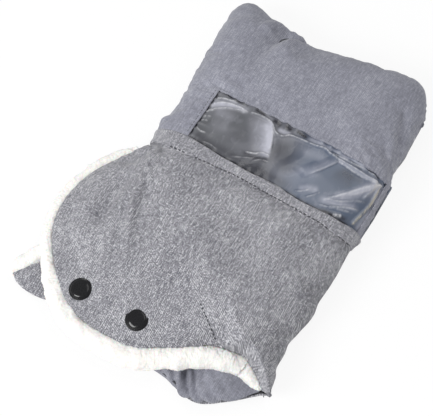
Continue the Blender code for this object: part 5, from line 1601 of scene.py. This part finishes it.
for side in ("left", "right"):
    place, axis = snapAxis("snap_cap_" + side)
    under = tuple(reversed(capMake["under"]))
    profile = ((1.6, -capMake["barrel"]), (2.2, -capMake["barrel"] + 0.4), *under, *capMake["rings"])
    cap = turnedPiece("snapCap" + side.capitalize(), profile, capMake["segments"])
    useModifier(cap, "BEVEL", width=0.12 * mm, segments=2, limit_method="ANGLE", angle_limit=radians(35))
    settle(cap, place, axis)
    finishPiece(cap, "snap", "mouth_flap", ("snap_cap_" + side,))
print("snap caps made")


# Stitching

threadMake = {"radius": 0.42 * mm, "long": 2.3 * mm, "gap": 0.9 * mm}


def oneStitch():
    pickNothing()
    bpy.ops.mesh.primitive_uv_sphere_add(segments=6, ring_count=5, radius=1.0)
    piece = bpy.context.active_object
    bpy.ops.transform.resize(value=(0.5, 1, 1))
    bpy.ops.object.transform_apply(scale=True)
    return piece


def stitchRow(name, tree, path, make, finish, body, depth=0.0, blendOver=False):
    path = smoothCurve(path, 6) * mm
    length = np.linalg.norm(np.diff(path, axis=0), axis=1).sum()
    count = max(2, int(length / (make["long"] + make["gap"])))
    pattern = oneStitch()
    copies = []
    for index in range(count):
        middle = (index + 0.5) / count
        reach = 0.5 * make["long"] / length
        ends = []
        for share in (middle - reach, middle + reach):
            x, y = alongCurve(path, min(max(share, 0), 1))
            hit, normal, _, _ = tree.ray_cast(Vector((x, y, 0.2)), Vector((0, 0, -1)))
            if hit is not None:
                ends.append((hit, normal))
        if len(ends) < 2:
            continue
        (first, normal), (second, _) = ends
        run = second - first
        side = normal.cross(run).normalized()
        turn = Matrix((run.normalized(), side, normal)).transposed().to_4x4()
        size = Matrix.Diagonal((run.length, make["radius"], make["radius"] * 0.8, 1))
        centre = (first + second) / 2 + normal * (make["radius"] * 0.25 - depth)
        copy = pattern.copy()
        copy.data = pattern.data.copy()
        copy.data.transform(Matrix.Translation(centre) @ turn @ size)
        bpy.context.collection.objects.link(copy)
        copies.append(copy)
    bpy.data.objects.remove(pattern)
    pickNothing()
    for copy in copies:
        copy.select_set(True)
    bpy.context.view_layer.objects.active = copies[0]
    bpy.ops.object.join()
    row = bpy.context.active_object
    row.name = name
    row.data.shade_smooth()
    if blendOver:
        finishPiece(row, finish, None)
        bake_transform(row)
    else:
        finishPiece(row, finish, body)
    return row


def surfaceOf(piece):
    return BVHTree.FromObject(piece, bpy.context.evaluated_depsgraph_get())


bandSurface = surfaceOf(windowBand)
farSurface = surfaceOf(farCover)
stitchRow("dartStitches", frontSurface, ((21.5, -104.2), (35, -113.5), (48.5, -122.5)),
          {**threadMake, "radius": 0.6 * mm}, "thread", "mouth_flap")
# The front row is thick and nearly unbroken: real stitches, and a dark line that also stands in as painted shade for
# the seam's groove at the band's front edge
stitchRow("bandStitchesAndSeamShade", bandSurface, ((-84, 4.2), (-71, 3.5), (-52, 3.3), (-33, 3.7), (-14, 4.6), (5, 4.6), (24, 3.8),
                                             (43, 3.4), (52, 2.9), (70, 3.8), (89, 4.7), (97, 6.4)),
          {"radius": 0.6 * mm, "long": 3.4 * mm, "gap": 0.5 * mm}, "thread", "muff")
stitchRow("windowStitchesLeft", farSurface, ((-66.2, 22), (-66.2, 46), (-66.2, 70)), {**threadMake, "radius": 0.3 * mm},
          "thread", "muff")
print("stitches made")


# Carried-over metal and plastic pieces of the snaps

for side in ("left", "right"):
    for node, finish in (("snap_socket_", "snap"), ("snap_stud_", "snap"), ("snap_spring_", "steel"),
                         ("snap_post_", "steel")):
        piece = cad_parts[node + side]
        for entry in piece.material_slots:
            entry.material = finishes[finish]


# Floor, light and camera

def makeFloor():
    pickNothing()
    bpy.ops.mesh.primitive_plane_add(size=8, location=(0, 0, -0.0002))
    floor = bpy.context.active_object
    floor.name = "floor"
    finish = Finish("whiteFloor", Base_Color=(0.93, 0.93, 0.93), Roughness=0.9, Specular_IOR_Level=0.1)
    glow = finish.node("ShaderNodeEmission", None, {"Color": (1, 1, 1, 1), "Strength": 1.0})
    seen = finish.node("ShaderNodeLightPath", output=0)
    mixed = finish.node("ShaderNodeMixShader", None, {0: seen * 0.88, 1: Wire(finish, finish.shader.outputs[0]), 2: glow})
    output = finish.tree.nodes["Material Output"]
    finish.feed(output.inputs["Surface"], mixed)
    floor.data.materials.append(finish.material)


def makeLamp(name, place, size, power, target=(0, 0, 0.03)):
    data = bpy.data.lights.new(name, "AREA")
    data.shape = "RECTANGLE"
    data.size, data.size_y = size
    data.energy = power
    lamp = bpy.data.objects.new(name, data)
    lamp.location = place
    lamp.rotation_euler = (Vector(target) - Vector(place)).to_track_quat("-Z", "Y").to_euler()
    bpy.context.scene.collection.objects.link(lamp)


makeFloor()
makeLamp("keyLamp", (-0.55, -1.15, 1.1), (0.8, 0.7), 20.5)
makeLamp("topLamp", (0.3, 0.7, 1.7), (1.4, 1.2), 9)
world = bpy.data.worlds.new("studio")
bpy.context.scene.world = world
world.use_nodes = True
world.node_tree.nodes["Background"].inputs["Color"].default_value = (1, 1, 1, 1)
world.node_tree.nodes["Background"].inputs["Strength"].default_value = 0.48

cameraMake = {"azimuth": 30.5, "elevation": 63.0, "distance": 1.2, "target": (-0.016, -0.015, 0.030), "lens": 120.2}


def makeCamera(make):
    azimuth, elevation = radians(make["azimuth"]), radians(make["elevation"])
    back = Vector((sin(azimuth) * cos(elevation), -cos(azimuth) * cos(elevation), sin(elevation)))
    data = bpy.data.cameras.new("camera")
    data.lens = make["lens"]
    data.sensor_width = 36
    camera = bpy.data.objects.new("camera", data)
    camera.location = Vector(make["target"]) + back * make["distance"]
    camera.rotation_euler = (-back).to_track_quat("-Z", "Y").to_euler()
    bpy.context.scene.collection.objects.link(camera)
    bpy.context.scene.camera = camera


makeCamera(cameraMake)
bpy.context.scene.view_settings.view_transform = "Standard"
